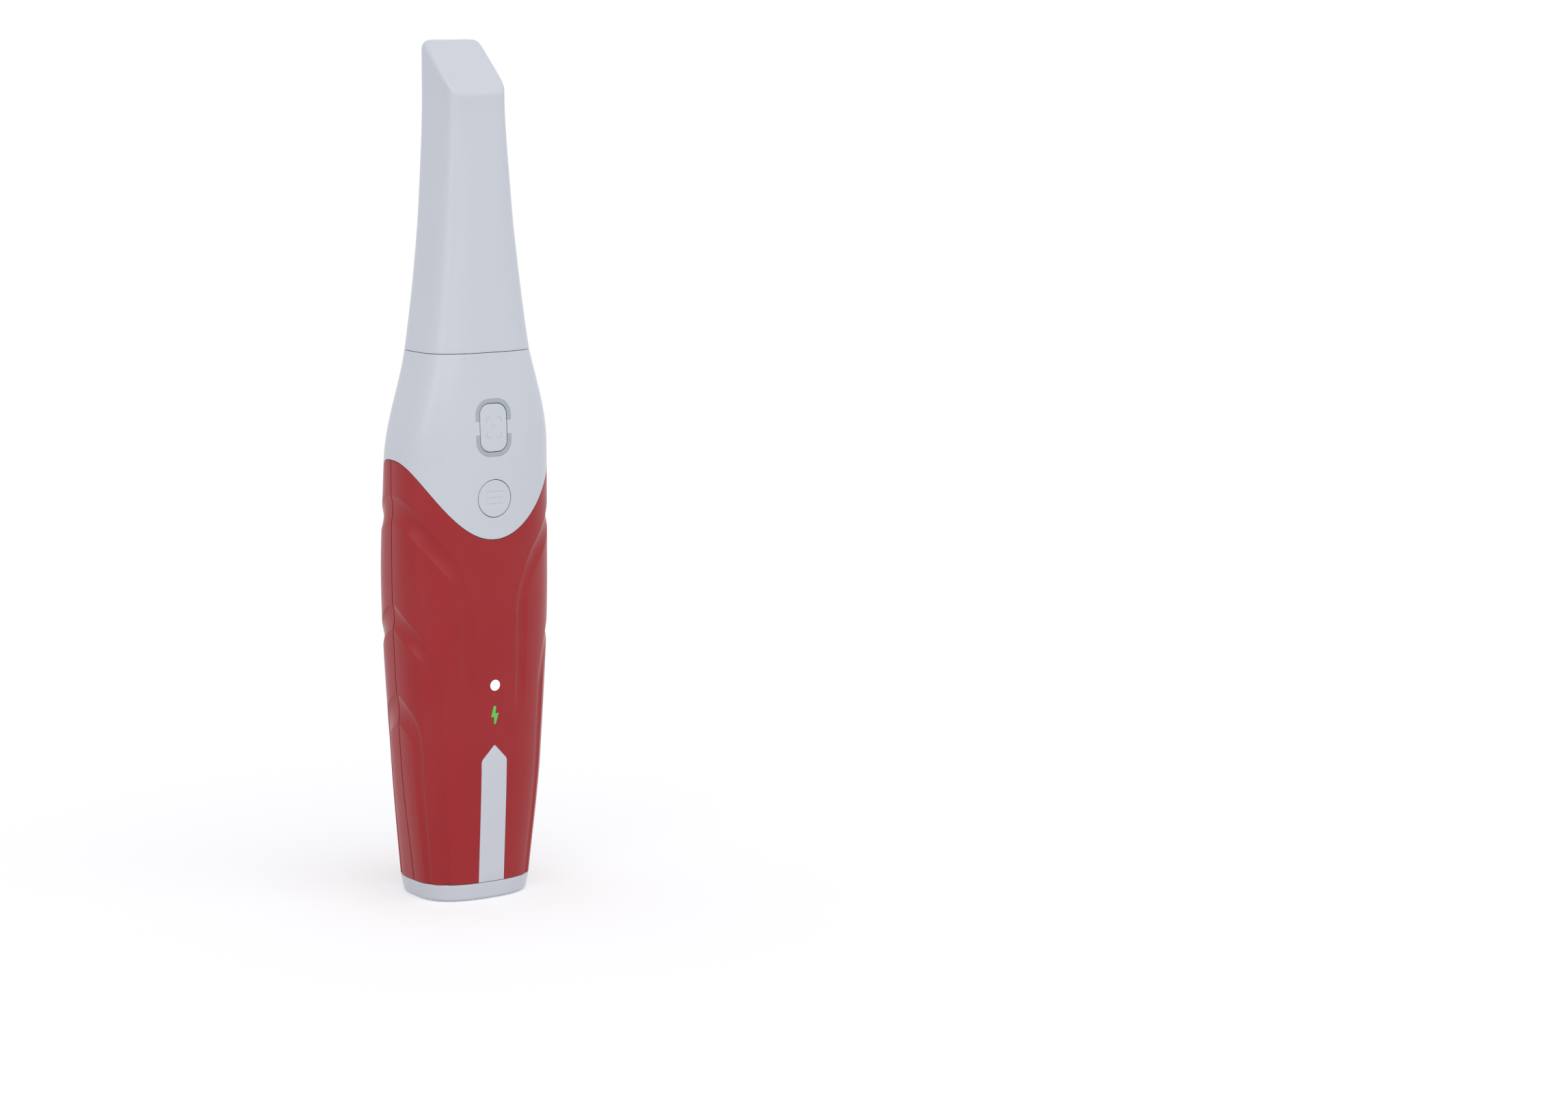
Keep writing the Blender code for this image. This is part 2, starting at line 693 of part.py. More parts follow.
def battery_pack():
    case = finish_piece("battery_case", loft("battery_case", [case_ring(Z_CASE), case_ring(Z_CASE_TOP)]),
                        BLACK, 0.5)
    bore = cylinders("cell_bore", [(0, CELL_Y)], CELL_RADIUS + GAP, Z_CASE + CASE_FLOOR,
                     Z_CASE_TOP + GAP)
    apply_boolean(case, finish_cutter("cell_bore", bore))
    shank = cylinders("case_holes", screw_places(), SCREW_DIAMETER / 2 + GAP, Z_CASE - GAP,
                      GAP + SCREW_LENGTH + GAP, SMALL_SIDES)
    apply_boolean(case, finish_cutter("case_holes", shank))
    cell = cylinders("battery_cell", [(0, CELL_Y)], CELL_RADIUS, Z_CELL, Z_CELL + CELL_LENGTH)
    finish_piece("battery_cell", cell, SLEEVE_BLUE, 0.3)
    finish_piece("battery_lid", loft("battery_lid", [case_ring(Z_LID), case_ring(Z_LID + LID_THICK)]),
                 BLACK, 0.5)
    for number, x in enumerate(row_places(PAD_COUNT, PAD_PITCH), start=1):
        pad = boxes("battery_contact", [((x - PAD_SIZE / 2, CELL_Y - PAD_SIZE / 2, Z_PADS),
                                         (x + PAD_SIZE / 2, CELL_Y + PAD_SIZE / 2, Z_PADS + PAD_THICK))])
        finish_piece(f"battery_contact_{number}", pad, GOLD, 0.3, 1.0)
    for side, centre in zip(("right", "left"), screw_places()):
        profile = [(0, GAP), (SCREW_HEAD / 2, GAP), (SCREW_HEAD / 2, GAP + SCREW_HEAD_RISE),
                   (SCREW_DIAMETER / 2, GAP + SCREW_HEAD_RISE), (SCREW_DIAMETER / 2, GAP + SCREW_LENGTH),
                   (0, GAP + SCREW_LENGTH)]
        finish_piece(f"case_screw_{side}", turned("case_screw", centre, profile), STEEL, 0.35, 1.0)


def row_places(count, pitch):
    return [(index - (count - 1) / 2) * pitch for index in range(count)]


# Grip shells

def grip_rows():
    """Heights at the side of the grip's rows, with both creases of each scallop."""
    rows = {BASE_HEIGHT, Z_SEAM}
    for scallop in (UPPER_SCALLOP, MIDDLE_SCALLOP, LOWER_SCALLOP):
        crease = Z_SEAM - scallop["drop"]
        rows |= {crease - scallop["height"] * step / 3 for step in range(4)}
    rows = sorted(rows)
    filled = []
    for low, high in zip(rows, rows[1:]):
        count = max(1, round((high - low) / (10 * MM)))
        filled += stations_between(low, high, count)[:-1]
    return filled + [Z_SEAM]


def grip_shells(form):
    outer = [seam_ring(GRIP_COLUMNS, z, scalloped=True) for z in grip_rows()]
    inner = [seam_ring(GRIP_COLUMNS, z, inset=SHELL_WALL)
             for z in reversed(stations_between(BASE_HEIGHT, Z_SEAM, 7))]
    mesh = loft("grip", outer + inner, endless=True)
    shells = []
    reach = 2 * GRIP_HALF_WIDTH
    for name, side in (("front_shell", 1), ("rear_shell", -1)):
        shell = finish_piece(name, mesh.copy(), RED, 0.5)
        ends = sorted((-side * GAP / 2, side * reach))
        half = boxes(name + "_cut", [((-reach, ends[0], -reach), (reach, ends[1], 2 * Z_SEAM))])
        apply_boolean(shell, finish_cutter(name + "_cut", half))
        shells.append(shell)
    bpy.data.meshes.remove(mesh)
    front = shells[0]
    pocket = prism("strip_pocket", strip_outline(BUTTON_GAP), FAR_FRONT, behind(STRIP_THICK + GAP))
    status_hole = prism("status_hole", status_outline(BUTTON_GAP), FAR_FRONT, 0.0)
    bolt_hole = prism("bolt_hole", bolt_outline(BUTTON_GAP), FAR_FRONT, 0.0)
    apply_boolean(front, together("front_openings", [pocket, status_hole, bolt_hole]))
    strip = flush_piece("strip_inlay", strip_outline(), STRIP_THICK, form)
    finish_piece("strip_inlay", strip, GREY, 0.35)
    status = flush_piece("status_light", status_outline(), LIGHT_DEPTH, form)
    finish_piece("status_light", status, WHITE, 0.3)
    bolt = flush_piece("charge_light", bolt_outline(), LIGHT_DEPTH, form)
    finish_piece("charge_light", bolt, GREEN, 0.3)
    light_board()


def light_board():
    half = LIGHT_BOARD_WIDTH / 2
    low = Z_BOLT - BOLT_LENGTH / 2 - LIGHT_BOARD_MARGIN
    high = Z_STATUS + STATUS_DIAMETER / 2 + LIGHT_BOARD_MARGIN
    front = front_face(BOLT_WIDTH / 2, low) + LIGHT_DEPTH + GAP
    board = boxes("light_board", [((-half, front, low), (half, front + BOARD_THICK, high))])
    finish_piece("light_board", board, BOARD_GREEN, 0.5)


# Nose housing, bands and buttons

def nose_housing(form):
    """Grey housing from the seam to the neck, with a tongue inside the grip shells."""
    rings = []
    steps = 6
    for step in range(steps + 1):
        share = step / steps
        points = []
        for angle in around(EVEN_COLUMNS):
            low = row_height(Z_SEAM, angle) + GAP
            points.append(skin_point(angle, low + (Z_NECK - low) * share))
        rings.append(points)
    inner_steps = 4
    for step in range(inner_steps + 1):
        share = 1 - step / inner_steps
        points = []
        for angle in around(EVEN_COLUMNS):
            low = row_height(Z_SEAM, angle) + TONGUE_LENGTH + TONGUE_RAMP
            points.append(skin_point(angle, low + (Z_NECK - low) * share, SHELL_WALL))
        rings.append(points)
    for lift in (TONGUE_LENGTH, -TONGUE_LENGTH):
        rings.append(seam_ring(EVEN_COLUMNS, Z_SEAM, lift, INNER + TONGUE_THICK))
    for lift in (-TONGUE_LENGTH, GAP):
        rings.append(seam_ring(EVEN_COLUMNS, Z_SEAM, lift, INNER))
    nose = finish_piece("nose_housing", loft("nose_housing", rings, endless=True), GREY, 0.35)
    holes = [prism("button_hole", outline, FAR_FRONT, 0.0)
             for outline in (scan_outline(BUTTON_GAP), mode_outline(BUTTON_GAP))]
    apply_boolean(nose, together("button_holes", holes))
    pockets = []
    for name, side in (("upper_band", 1), ("lower_band", -1)):
        outline = band_outline(side, BUTTON_GAP, BUTTON_GAP + BAND_WIDTH)
        band = flush_piece(name, outline, BAND_DEPTH, form)
        finish_piece(name, band, BAND_GREY, 0.4)
        wide = band_outline(side, 0.0, 2 * BUTTON_GAP + BAND_WIDTH, BUTTON_GAP)
        pockets.append(prism("band_pocket", wide, FAR_FRONT, behind(BAND_DEPTH + GAP)))
    apply_boolean(nose, together("band_pockets", pockets))
    return nose


def button(name, outline, form):
    """Button cap flush with the nose, with a flange that keeps it in."""
    height = sum(z for x, z in outline()) / len(outline())
    wall = front_face(0, height) + SHELL_WALL
    cap = flush_piece(name, outline(), SHELL_WALL + GAP + FLANGE_THICK / 2, form)
    piece = finish_piece(name, cap, GREY, 0.35)
    flange = prism(name + "_flange", outline(FLANGE_MARGIN), wall + 2 * GAP, wall + 2 * GAP + FLANGE_THICK)
    apply_boolean(piece, finish_cutter(name + "_flange", flange), "UNION")


def buttons(form):
    """Both buttons, then the board behind them with a switch at each."""
    button("scan_button", scan_outline, form)
    button("mode_button", mode_outline, form)
    front = board_front()
    half = BUTTON_BOARD_WIDTH / 2
    low = Z_MODE - BUTTON_BOARD_MARGIN
    high = Z_SCAN + BUTTON_BOARD_MARGIN
    board = boxes("button_board", [((-half, front, low), (half, front + BOARD_THICK, high))])
    finish_piece("button_board", board, BOARD_GREEN, 0.5)
    reach = SWITCH_SIZE / 2
    for name, height in (("scan_switch", Z_SCAN), ("mode_switch", Z_MODE)):
        switch = boxes(name, [((-reach, front - GAP - SWITCH_THICK, height - reach),
                               (reach, front - GAP, height + reach))])
        finish_piece(name, switch, STEEL, 0.4, 1.0)


# Optical frame and what it carries

def plate_rings(low, high):
    return [ring(PLAIN_COLUMNS, z, INNER) for z in (low, high)]


def optical_frame():
    """Two plates that fit the housing, rails between them, a shelf and arms."""
    frame = finish_piece("optical_frame", loft("optical_frame", plate_rings(Z_FRAME, Z_FRAME + FRAME_PLATE)),
                         STEEL, 0.45, 1.0)
    flange = loft("frame_flange", plate_rings(Z_FLANGE, Z_FLANGE + FRAME_PLATE))
    apply_boolean(frame, finish_cutter("frame_flange", flange), "UNION")
    front = OPTIC_Y - RAIL_DEPTH / 2
    rear = OPTIC_Y + RAIL_DEPTH / 2
    board_back = board_front() + BOARD_THICK
    for name, side in (("right", 1), ("left", -1)):
        near, far = sorted((side * (RAIL_SPREAD - RAIL_WIDTH / 2), side * (RAIL_SPREAD + RAIL_WIDTH / 2)))
        rail = boxes("rail_" + name, [((near, front, Z_FRAME + FRAME_PLATE / 2),
                                       (far, rear, Z_FLANGE + FRAME_PLATE / 2))])
        apply_boolean(frame, finish_cutter("rail_" + name, rail), "UNION")
        for level, middle in (("lower", Z_MODE), ("upper", Z_SCAN)):
            arm_name = "arm_" + level + "_" + name
            arm = boxes(arm_name, [((near + GAP, board_back + GAP, middle - ARM_HEIGHT / 2),
                                    (far - GAP, OPTIC_Y, middle + ARM_HEIGHT / 2))])
            apply_boolean(frame, finish_cutter(arm_name, arm), "UNION")
    shelf_front = OPTIC_Y - PRISM_SIZE / 2
    shelf_rear = OPTIC_Y + PRISM_SIZE / 2 + GAP + PROJECTOR_DEPTH
    shelf = boxes("shelf", [((-RAIL_SPREAD, shelf_front, Z_SHELF),
                             (RAIL_SPREAD, shelf_rear, Z_SHELF + FRAME_PLATE))])
    apply_boolean(frame, finish_cutter("shelf", shelf), "UNION")
    bore = cylinders("optic_bore", [(0, OPTIC_Y)], LENS_TUBE_DIAMETER / 2 + GAP, Z_FLANGE - GAP,
                     Z_FLANGE + FRAME_PLATE + GAP)
    sight = cylinders("sight_bore", [(0, OPTIC_Y)], SENSOR_SIZE / 3, Z_SHELF - GAP,
                      Z_SHELF + FRAME_PLATE + GAP)
    slot = boxes("cable_slot", [((-RAIL_SPREAD / 2, -RAIL_DEPTH / 2, Z_FRAME - GAP),
                                 (RAIL_SPREAD / 2, RAIL_DEPTH / 2, Z_FRAME + FRAME_PLATE + GAP))])
    apply_boolean(frame, together("frame_openings", [bore, sight, slot]))
    return frame


def optics():
    """Lens tube, lenses, prism, projector and camera along the optical axis."""
    top = Z_LENS_TUBE + LENS_TUBE_LENGTH
    tube = finish_piece("lens_tube", cylinders("lens_tube", [(0, OPTIC_Y)], LENS_TUBE_DIAMETER / 2,
                                               Z_LENS_TUBE, top), BLACK, 0.5)
    bore_radius = LENS_TUBE_DIAMETER / 2 - LENS_TUBE_WALL
    bore = cylinders("tube_bore", [(0, OPTIC_Y)], bore_radius, Z_LENS_TUBE - GAP, top + GAP)
    apply_boolean(tube, finish_cutter("tube_bore", bore))
    for name, low in (("rear_lens", Z_LENS_TUBE + LENS_THICK / 2), ("front_lens", top - LENS_THICK * 1.5)):
        lens = cylinders(name, [(0, OPTIC_Y)], bore_radius - GAP, low, low + LENS_THICK)
        finish_piece(name, lens, GLASS, 0.05)
    half = PRISM_SIZE / 2
    prism_box = boxes("beam_prism", [((-half, OPTIC_Y - half, Z_PRISM),
                                      (half, OPTIC_Y + half, Z_PRISM + PRISM_SIZE))])
    finish_piece("beam_prism", prism_box, GLASS, 0.05)
    rear = OPTIC_Y + half + GAP
    projector = boxes("projector_module", [((-half, rear, Z_PRISM),
                                            (half, rear + PROJECTOR_DEPTH, Z_PRISM + PRISM_SIZE))])
    finish_piece("projector_module", projector, BLACK, 0.5)
    reach = SENSOR_SIZE / 2
    sensor_top = Z_SHELF - GAP
    sensor = boxes("camera_sensor", [((-reach, OPTIC_Y - reach, sensor_top - SENSOR_HEIGHT),
                                      (reach, OPTIC_Y + reach, sensor_top))])
    finish_piece("camera_sensor", sensor, BLACK, 0.4)
    board_top = sensor_top - SENSOR_HEIGHT - GAP
    wide = CAMERA_BOARD_WIDTH / 2
    deep = LENS_TUBE_DIAMETER / 2 - GAP
    board = boxes("camera_board", [((-wide, OPTIC_Y - deep, board_top - BOARD_THICK),
                                    (wide, OPTIC_Y + deep, board_top))])
    finish_piece("camera_board", board, BOARD_GREEN, 0.5)


def electronics():
    """Main board and heat sink behind the rails, and the antenna board on the rear shell."""
    low = Z_FRAME + FRAME_PLATE + GAP
    front = OPTIC_Y + RAIL_DEPTH / 2 + GAP
    half = RAIL_SPREAD + RAIL_WIDTH / 2
    board = boxes("main_board", [((-half, front, low), (half, front + BOARD_THICK, low + MAIN_BOARD_LENGTH))])
    finish_piece("main_board", board, BOARD_GREEN, 0.5)
    base = front + BOARD_THICK + GAP
    middle = low + MAIN_BOARD_LENGTH / 2
    bottom = middle - SINK_LENGTH / 2
    reach = SINK_WIDTH / 2
    outline = [(-reach, base), (reach, base)]
    pitch = (SINK_WIDTH - SINK_FIN) / (SINK_FINS - 1)
    tops = [-reach + index * pitch for index in reversed(range(SINK_FINS))]
    for left, after in zip(tops, tops[1:]):
        outline += [(left + SINK_FIN, base + SINK_DEPTH), (left, base + SINK_DEPTH),
                    (left, base + SINK_BASE), (after + SINK_FIN, base + SINK_BASE)]
    outline += [(SINK_FIN - reach, base + SINK_DEPTH), (-reach, base + SINK_DEPTH)]
    bm = bmesh.new()
    levels = [[bm.verts.new((x, y, z)) for x, y in outline] for z in (bottom, bottom + SINK_LENGTH)]
    bridge(bm, levels[0], levels[1])
    bm.faces.new(levels[0])
    bm.faces.new(levels[1])
    finish_piece("heat_sink", to_mesh("heat_sink", bm), STEEL, 0.4, 1.0)
    top = Z_FRAME - ANTENNA_DROP
    wide = ANTENNA_WIDTH / 2
    share = wide / (half_width(top - ANTENNA_LENGTH) - SHELL_WALL)
    wall = rear_depth(top - ANTENNA_LENGTH) - SHELL_WALL
    power = rear_squareness(top)
    back = wall * (1 - share ** power) ** (1 / power) - GAP
    antenna = boxes("antenna_board", [((-wide, back - BOARD_THICK, top - ANTENNA_LENGTH), (wide, back, top))])
    finish_piece("antenna_board", antenna, BOARD_GREEN, 0.5)


def contact_block():
    block = boxes("contact_block", [((-BLOCK_WIDTH / 2, CELL_Y - BLOCK_DEPTH / 2, Z_BLOCK),
                                     (BLOCK_WIDTH / 2, CELL_Y + BLOCK_DEPTH / 2, Z_BLOCK + BLOCK_HEIGHT))])
    finish_piece("contact_block", block, BLACK, 0.5)
    for number, x in enumerate(row_places(PAD_COUNT, PAD_PITCH), start=1):
        pin = cylinders("spring_pin", [(x, CELL_Y)], PIN_DIAMETER / 2, Z_PINS, Z_PINS + PIN_LENGTH,
                        SMALL_SIDES)
        finish_piece(f"spring_pin_{number}", pin, GOLD, 0.3, 1.0)


# Barrel and tip

def barrel():
    """Tube from inside the nose up into the tip, with a window glass and a seal."""
    core = INNER + BARREL_WALL
    ledge = INNER + BARREL_WALL - GLASS_LEDGE
    seal_low = Z_NECK + SEAL_RISE
    seal_high = seal_low + SEAL_HEIGHT + 2 * GAP
    rings = [(Z_BARREL, INNER), (Z_NECK, INNER), (seal_low, INNER), (seal_low, INNER + SEAL_DEPTH),
             (seal_high, INNER + SEAL_DEPTH), (seal_high, INNER)]
    rings += [(z, INNER) for z in stations_between(seal_high, Z_BARREL_TOP, 3)[1:]]
    rings += [(Z_BARREL_TOP, ledge), (Z_BARREL_TOP - GLASS_THICK - GAP, ledge)]
    rings += [(z, core) for z in reversed(stations_between(Z_BARREL, Z_BARREL_TOP - GLASS_THICK - GAP, 4))]
    mesh = loft("barrel", [ring(EVEN_COLUMNS, z, inset) for z, inset in rings], endless=True)
    finish_piece("barrel", mesh, BLACK, 0.45)
    glass = [ring(EVEN_COLUMNS, z, ledge + GAP) for z in (Z_BARREL_TOP - GLASS_THICK, Z_BARREL_TOP)]
    finish_piece("barrel_window", loft("barrel_window", glass), GLASS, 0.05)
    low = seal_low + GAP
    high = low + SEAL_HEIGHT
    outer = INNER - BUTTON_GAP
    inner = INNER + SEAL_DEPTH - GAP
    seal = [(low, outer), (high, outer), (high, inner), (low, inner)]
    mesh = loft("barrel_seal", [ring(EVEN_COLUMNS, z, inset) for z, inset in seal], endless=True)
    finish_piece("barrel_seal", mesh, BLACK, 0.8)


def slant_height(y, drop=0.0):
    """Height of the slanted face at a depth, or of a plane parallel to it below."""
    return Z_HEAD + (y + HEAD_FRONT) * tan(SLANT_ANGLE) - drop / cos(SLANT_ANGLE)


def slant_cutter(name, drop=0.0):
    """Everything above the slanted face, or above a plane parallel to it."""
    bm = bmesh.new()
    reach = 4 * HEAD_FRONT
    height = 4 * CROWN_RISE
    profile = [(-reach, slant_height(-reach, drop)), (reach, slant_height(reach, drop)),
               (reach, slant_height(reach, drop) + height), (-reach, slant_height(reach, drop) + height)]
    sides = [[bm.verts.new((x, y, z)) for y, z in profile] for x in (-reach, reach)]
    bridge(bm, sides[0], sides[1])
    bm.faces.new(sides[0])
    bm.faces.new(sides[1])
    return finish_cutter(name, to_mesh(name, bm))


def tip():
    """Pull-off sleeve with a slanted head, open below and at the scanning window."""
    low = Z_NECK + GAP
    below = Z_NECK - GAP
    heights = [below] + stations_between(low, Z_ROOT, 4)[1:]
    heights += stations_between(Z_ROOT, Z_HEAD, 2)[1:] + [Z_CROWN]
    outer = loft("tip_sleeve", [ring(EVEN_COLUMNS, z) for z in heights])
    sleeve = finish_piece("tip_sleeve", outer, GREY, 0.35)
    apply_boolean(sleeve, slant_cutter("slant_cut"))
    bevel = sleeve.modifiers.new("head_edge", "BEVEL")
    bevel.width = HEAD_EDGE
    bevel.segments = 2
    bevel.limit_method = "ANGLE"
    bevel.angle_limit = HEAD_EDGE_ANGLE
    reach = 2 * NECK_HALF_WIDTH
    foot = boxes("foot_cut", [((-reach, -reach, below - reach), (reach, reach, low))])
    apply_boolean(sleeve, finish_cutter("foot_cut", foot))
    core_heights = [z - GAP if z == below else z for z in heights[:-1]] + [Z_CROWN - TIP_WALL]
    inner = loft("tip_core", [ring(EVEN_COLUMNS, z, TIP_WALL) for z in core_heights])
    core = finish_cutter("tip_core", inner)
    apply_boolean(core, slant_cutter("core_slant", TIP_WALL))
    apply_boolean(sleeve, core)
    middle = Z_CROWN - WINDOW_DROP - WINDOW_HEIGHT / 2
    outline = rounded_rectangle(0, middle, WINDOW_WIDTH, WINDOW_HEIGHT, WINDOW_CORNER)
    window = prism("scan_window", outline, HEAD_REAR - 2 * TIP_WALL, 2 * HEAD_REAR)
    apply_boolean(sleeve, finish_cutter("scan_window", window))
    tip_mirror()


def tip_mirror():
    """Plate under the slanted wall that turns the view out of the window."""
    depth = TIP_WALL + GAP + MIRROR_THICK / 2
    along = MIRROR_LENGTH * cos(SLANT_ANGLE)
    y = -HEAD_FRONT + TIP_WALL + 2 * GAP + along / 2 + MIRROR_THICK * sin(SLANT_ANGLE)
    centre = Vector((0, y, slant_height(y, depth)))
    bm = bmesh.new()
    size = Matrix.Diagonal((MIRROR_WIDTH, MIRROR_LENGTH, MIRROR_THICK, 1.0))
    matrix = Matrix.Translation(centre) @ Matrix.Rotation(SLANT_ANGLE, 4, "X") @ size
    bmesh.ops.create_cube(bm, size=1.0, matrix=matrix)
    finish_piece("tip_mirror", to_mesh("tip_mirror", bm), STEEL, 0.02, 1.0)


def place_origin(name, point):
    """Move an object's origin onto its joint axis without moving its mesh."""
    piece = bpy.data.objects[name]
    piece.data.transform(Matrix.Translation(-Vector(point)))
    piece.location = point


def build():
    form = outer_form()
    base_cap()
    battery_pack()
    grip_shells(form)
    nose_housing(form)
    buttons(form)
    optical_frame()
    optics()
    electronics()
    contact_block()
    barrel()
    tip()
    place_origin("scan_button", (0, front_face(0, Z_SCAN), Z_SCAN))
    place_origin("mode_button", (0, front_face(0, Z_MODE), Z_MODE))
    place_origin("tip_sleeve", (0, 0, Z_NECK))


build()
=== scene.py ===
"""Dresses the cordless intraoral scanner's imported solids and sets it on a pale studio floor."""

from math import asin, atan2, copysign, cos, hypot, pi, radians, sin, sqrt, tan

import bmesh
import bpy
from mathutils import Matrix, Vector
from mathutils.geometry import intersect_point_line


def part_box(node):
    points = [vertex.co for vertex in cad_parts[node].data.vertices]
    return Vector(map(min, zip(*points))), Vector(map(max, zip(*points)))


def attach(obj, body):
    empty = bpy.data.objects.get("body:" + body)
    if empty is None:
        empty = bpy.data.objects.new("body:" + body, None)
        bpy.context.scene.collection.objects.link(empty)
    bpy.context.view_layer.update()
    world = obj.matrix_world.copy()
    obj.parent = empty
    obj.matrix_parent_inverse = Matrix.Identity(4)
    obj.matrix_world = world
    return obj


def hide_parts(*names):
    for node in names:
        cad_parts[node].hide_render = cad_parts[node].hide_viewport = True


bl_info = {
    "name": "Intraoral Scanner",
    "version": (1, 0, 0),
    "blender": (4, 5, 0),
    "location": "3D View > Sidebar > Scanner",
    "description": "Builds the visible pieces of a cordless intraoral scanner round its solids",
    "category": "Object",
}

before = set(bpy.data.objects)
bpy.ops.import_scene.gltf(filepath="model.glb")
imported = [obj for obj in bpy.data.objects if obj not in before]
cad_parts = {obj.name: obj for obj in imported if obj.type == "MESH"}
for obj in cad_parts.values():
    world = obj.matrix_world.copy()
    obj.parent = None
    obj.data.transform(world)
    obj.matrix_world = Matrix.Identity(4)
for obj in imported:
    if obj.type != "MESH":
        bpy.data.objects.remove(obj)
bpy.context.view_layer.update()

MM = 0.001


# Heights and sizes taken from the solids

def low(node):
    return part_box(node)[0]


def high(node):
    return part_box(node)[1]


def middle(node):
    return (low(node) + high(node)) / 2


GAP = 0.3 * MM
SEAM_GAP = 0.18 * MM
BASE_HEIGHT = 5.2 * MM
SEAM_RISE = 1.0 * MM
SEAM_SAG = 22.1 * MM
SAG_RUN = 40.0 * MM
STATIONS = [z * MM for z in (5.2, 40.0, 92.0, 124.0, 154.8, 188.0, 226.0)]
Z_SHOULDER = STATIONS[3]
Z_NECK = STATIONS[4]
Z_HEAD = STATIONS[6]
Z_SEAM = Z_SHOULDER + SEAM_RISE
HALF_WIDTHS = [w * MM for w in (17.4, 21.2, 23.55, 23.5, 16.65, 12.4, 9.2)]
FRONT_DEPTHS = [d * MM for d in (13.3, 15.3, 16.35, 16.3, 14.5, 12.5, 10.0)]
REAR_DEPTHS = [d * MM for d in (14.9, 15.2, 16.35, 12.3, 9.1, 8.2, 8.2)]
FRONT_SQUARENESS = (2.6, 2.6, 2.6, 2.6, 3.5, 3.5, 6.3)
SHOULDER_FULLNESS = 0.5
REAR_SQUARENESS = (3.5, 2.9, 2.9, 2.9, 3.5, 3.5, 6.3)
SEAM_SQUARENESS = 2.6
HEAD_FRONT = FRONT_DEPTHS[6]
SLANT_ANGLE = radians(43.5)
CROWN = high("tip_sleeve").z


def smooth(value):
    """Ease from 0 to 1, held flat outside."""
    value = min(1.0, max(0.0, value))
    return value * value * (3 - 2 * value)


def even_curve(values):
    """A smooth curve through the stations that never overshoots them."""
    steps = [b - a for a, b in zip(STATIONS, STATIONS[1:])]
    rises = [(b - a) / step for a, b, step in zip(values, values[1:], steps)]
    slopes = [rises[0]]
    for left, right in zip(rises, rises[1:]):
        slopes.append(2 * left * right / (left + right) if left * right > 0 else 0.0)
    slopes.append(0.0)

    def at(height):
        if height >= STATIONS[-1]:
            return values[-1]
        index = max(i for i, z in enumerate(STATIONS[:-1]) if i == 0 or height >= z)
        step = steps[index]
        t = (height - STATIONS[index]) / step
        start = (1 + 2 * t) * (1 - t) ** 2 * values[index]
        end = t * t * (3 - 2 * t) * values[index + 1]
        lean = t * (1 - t) ** 2 * slopes[index] - t * t * (1 - t) * slopes[index + 1]
        return start + end + lean * step

    return at


half_width = even_curve(HALF_WIDTHS)
front_depth = even_curve(FRONT_DEPTHS)
rear_depth = even_curve(REAR_DEPTHS)
even_squareness = even_curve(FRONT_SQUARENESS)
rear_squareness = even_curve(REAR_SQUARENESS)


def front_squareness(height):
    """Squareness of the front, fuller between the shoulder and the neck."""
    share = min(1.0, max(0.0, (height - Z_SHOULDER) / (Z_NECK - Z_SHOULDER))) ** 1.5
    return even_squareness(height) + SHOULDER_FULLNESS * 4 * share * (1 - share)


def skin_point(angle, height, inset=0.0):
    """Point of the outer form, or of a form inset from it."""
    front = sin(angle) < 0
    depth = front_depth(height) if front else rear_depth(height)
    power = front_squareness(height) if front else rear_squareness(height)
    x = copysign(abs(cos(angle)) ** (2 / power), cos(angle)) * (half_width(height) - inset)
    y = copysign(abs(sin(angle)) ** (2 / power), sin(angle)) * (depth - inset)
    return Vector((x, y, height))


def front_face(x, height):
    """Y of the outer form's front at a place."""
    share = min(1.0, abs(x) / half_width(height))
    power = front_squareness(height)
    return -front_depth(height) * (1 - share ** power) ** (1 / power)


def side_share(angle):
    """Share of the way from the side (0) to the middle of front or rear (1)."""
    angle = abs(angle)
    return min(angle, pi - angle) / (pi / 2)


SHELL_WALL = 1.8 * MM
TIP_WALL = 1.6 * MM
BUTTON_GAP = 0.2 * MM
UPPER_SCALLOP = {"drop": 9.9 * MM, "height": 7.6 * MM, "turn": 0.87, "inner_turn": 0.76,
                 "round": 0.9, "power": 2.0, "turn_fade": 0.5}
MIDDLE_SCALLOP = {"drop": 40.1 * MM, "height": 7.3 * MM, "turn": 0.58, "inner_turn": 0.44,
                  "round": 0.9, "power": 2.0, "turn_fade": 0.6}
LOWER_SCALLOP = {"drop": 65.8 * MM, "height": 8.5 * MM, "turn": 0.33, "inner_turn": 0.19,
                 "round": 0.35, "power": 3.0, "turn_fade": 0.2}
SCALLOPS = (UPPER_SCALLOP, MIDDLE_SCALLOP, LOWER_SCALLOP)
SCALLOP_RUN = 46.0 * MM
SCALLOP_FADE = 14.0 * MM
SCALLOP_LEAN = 0.88


def row_height(side_height, angle):
    """Height of a row that starts at a height at the side and sags like the seam."""
    sag = SEAM_SAG * smooth((side_height - BASE_HEIGHT) / SAG_RUN)
    parabola = 1 - abs(cos(angle)) ** (4 / SEAM_SQUARENESS)
    start = Z_SEAM - MIDDLE_SCALLOP["drop"]
    bend = smooth((side_height - start) / (Z_SEAM - UPPER_SCALLOP["drop"] - start))
    return side_height - sag * (side_share(angle) * (1 - bend) + parabola * bend)


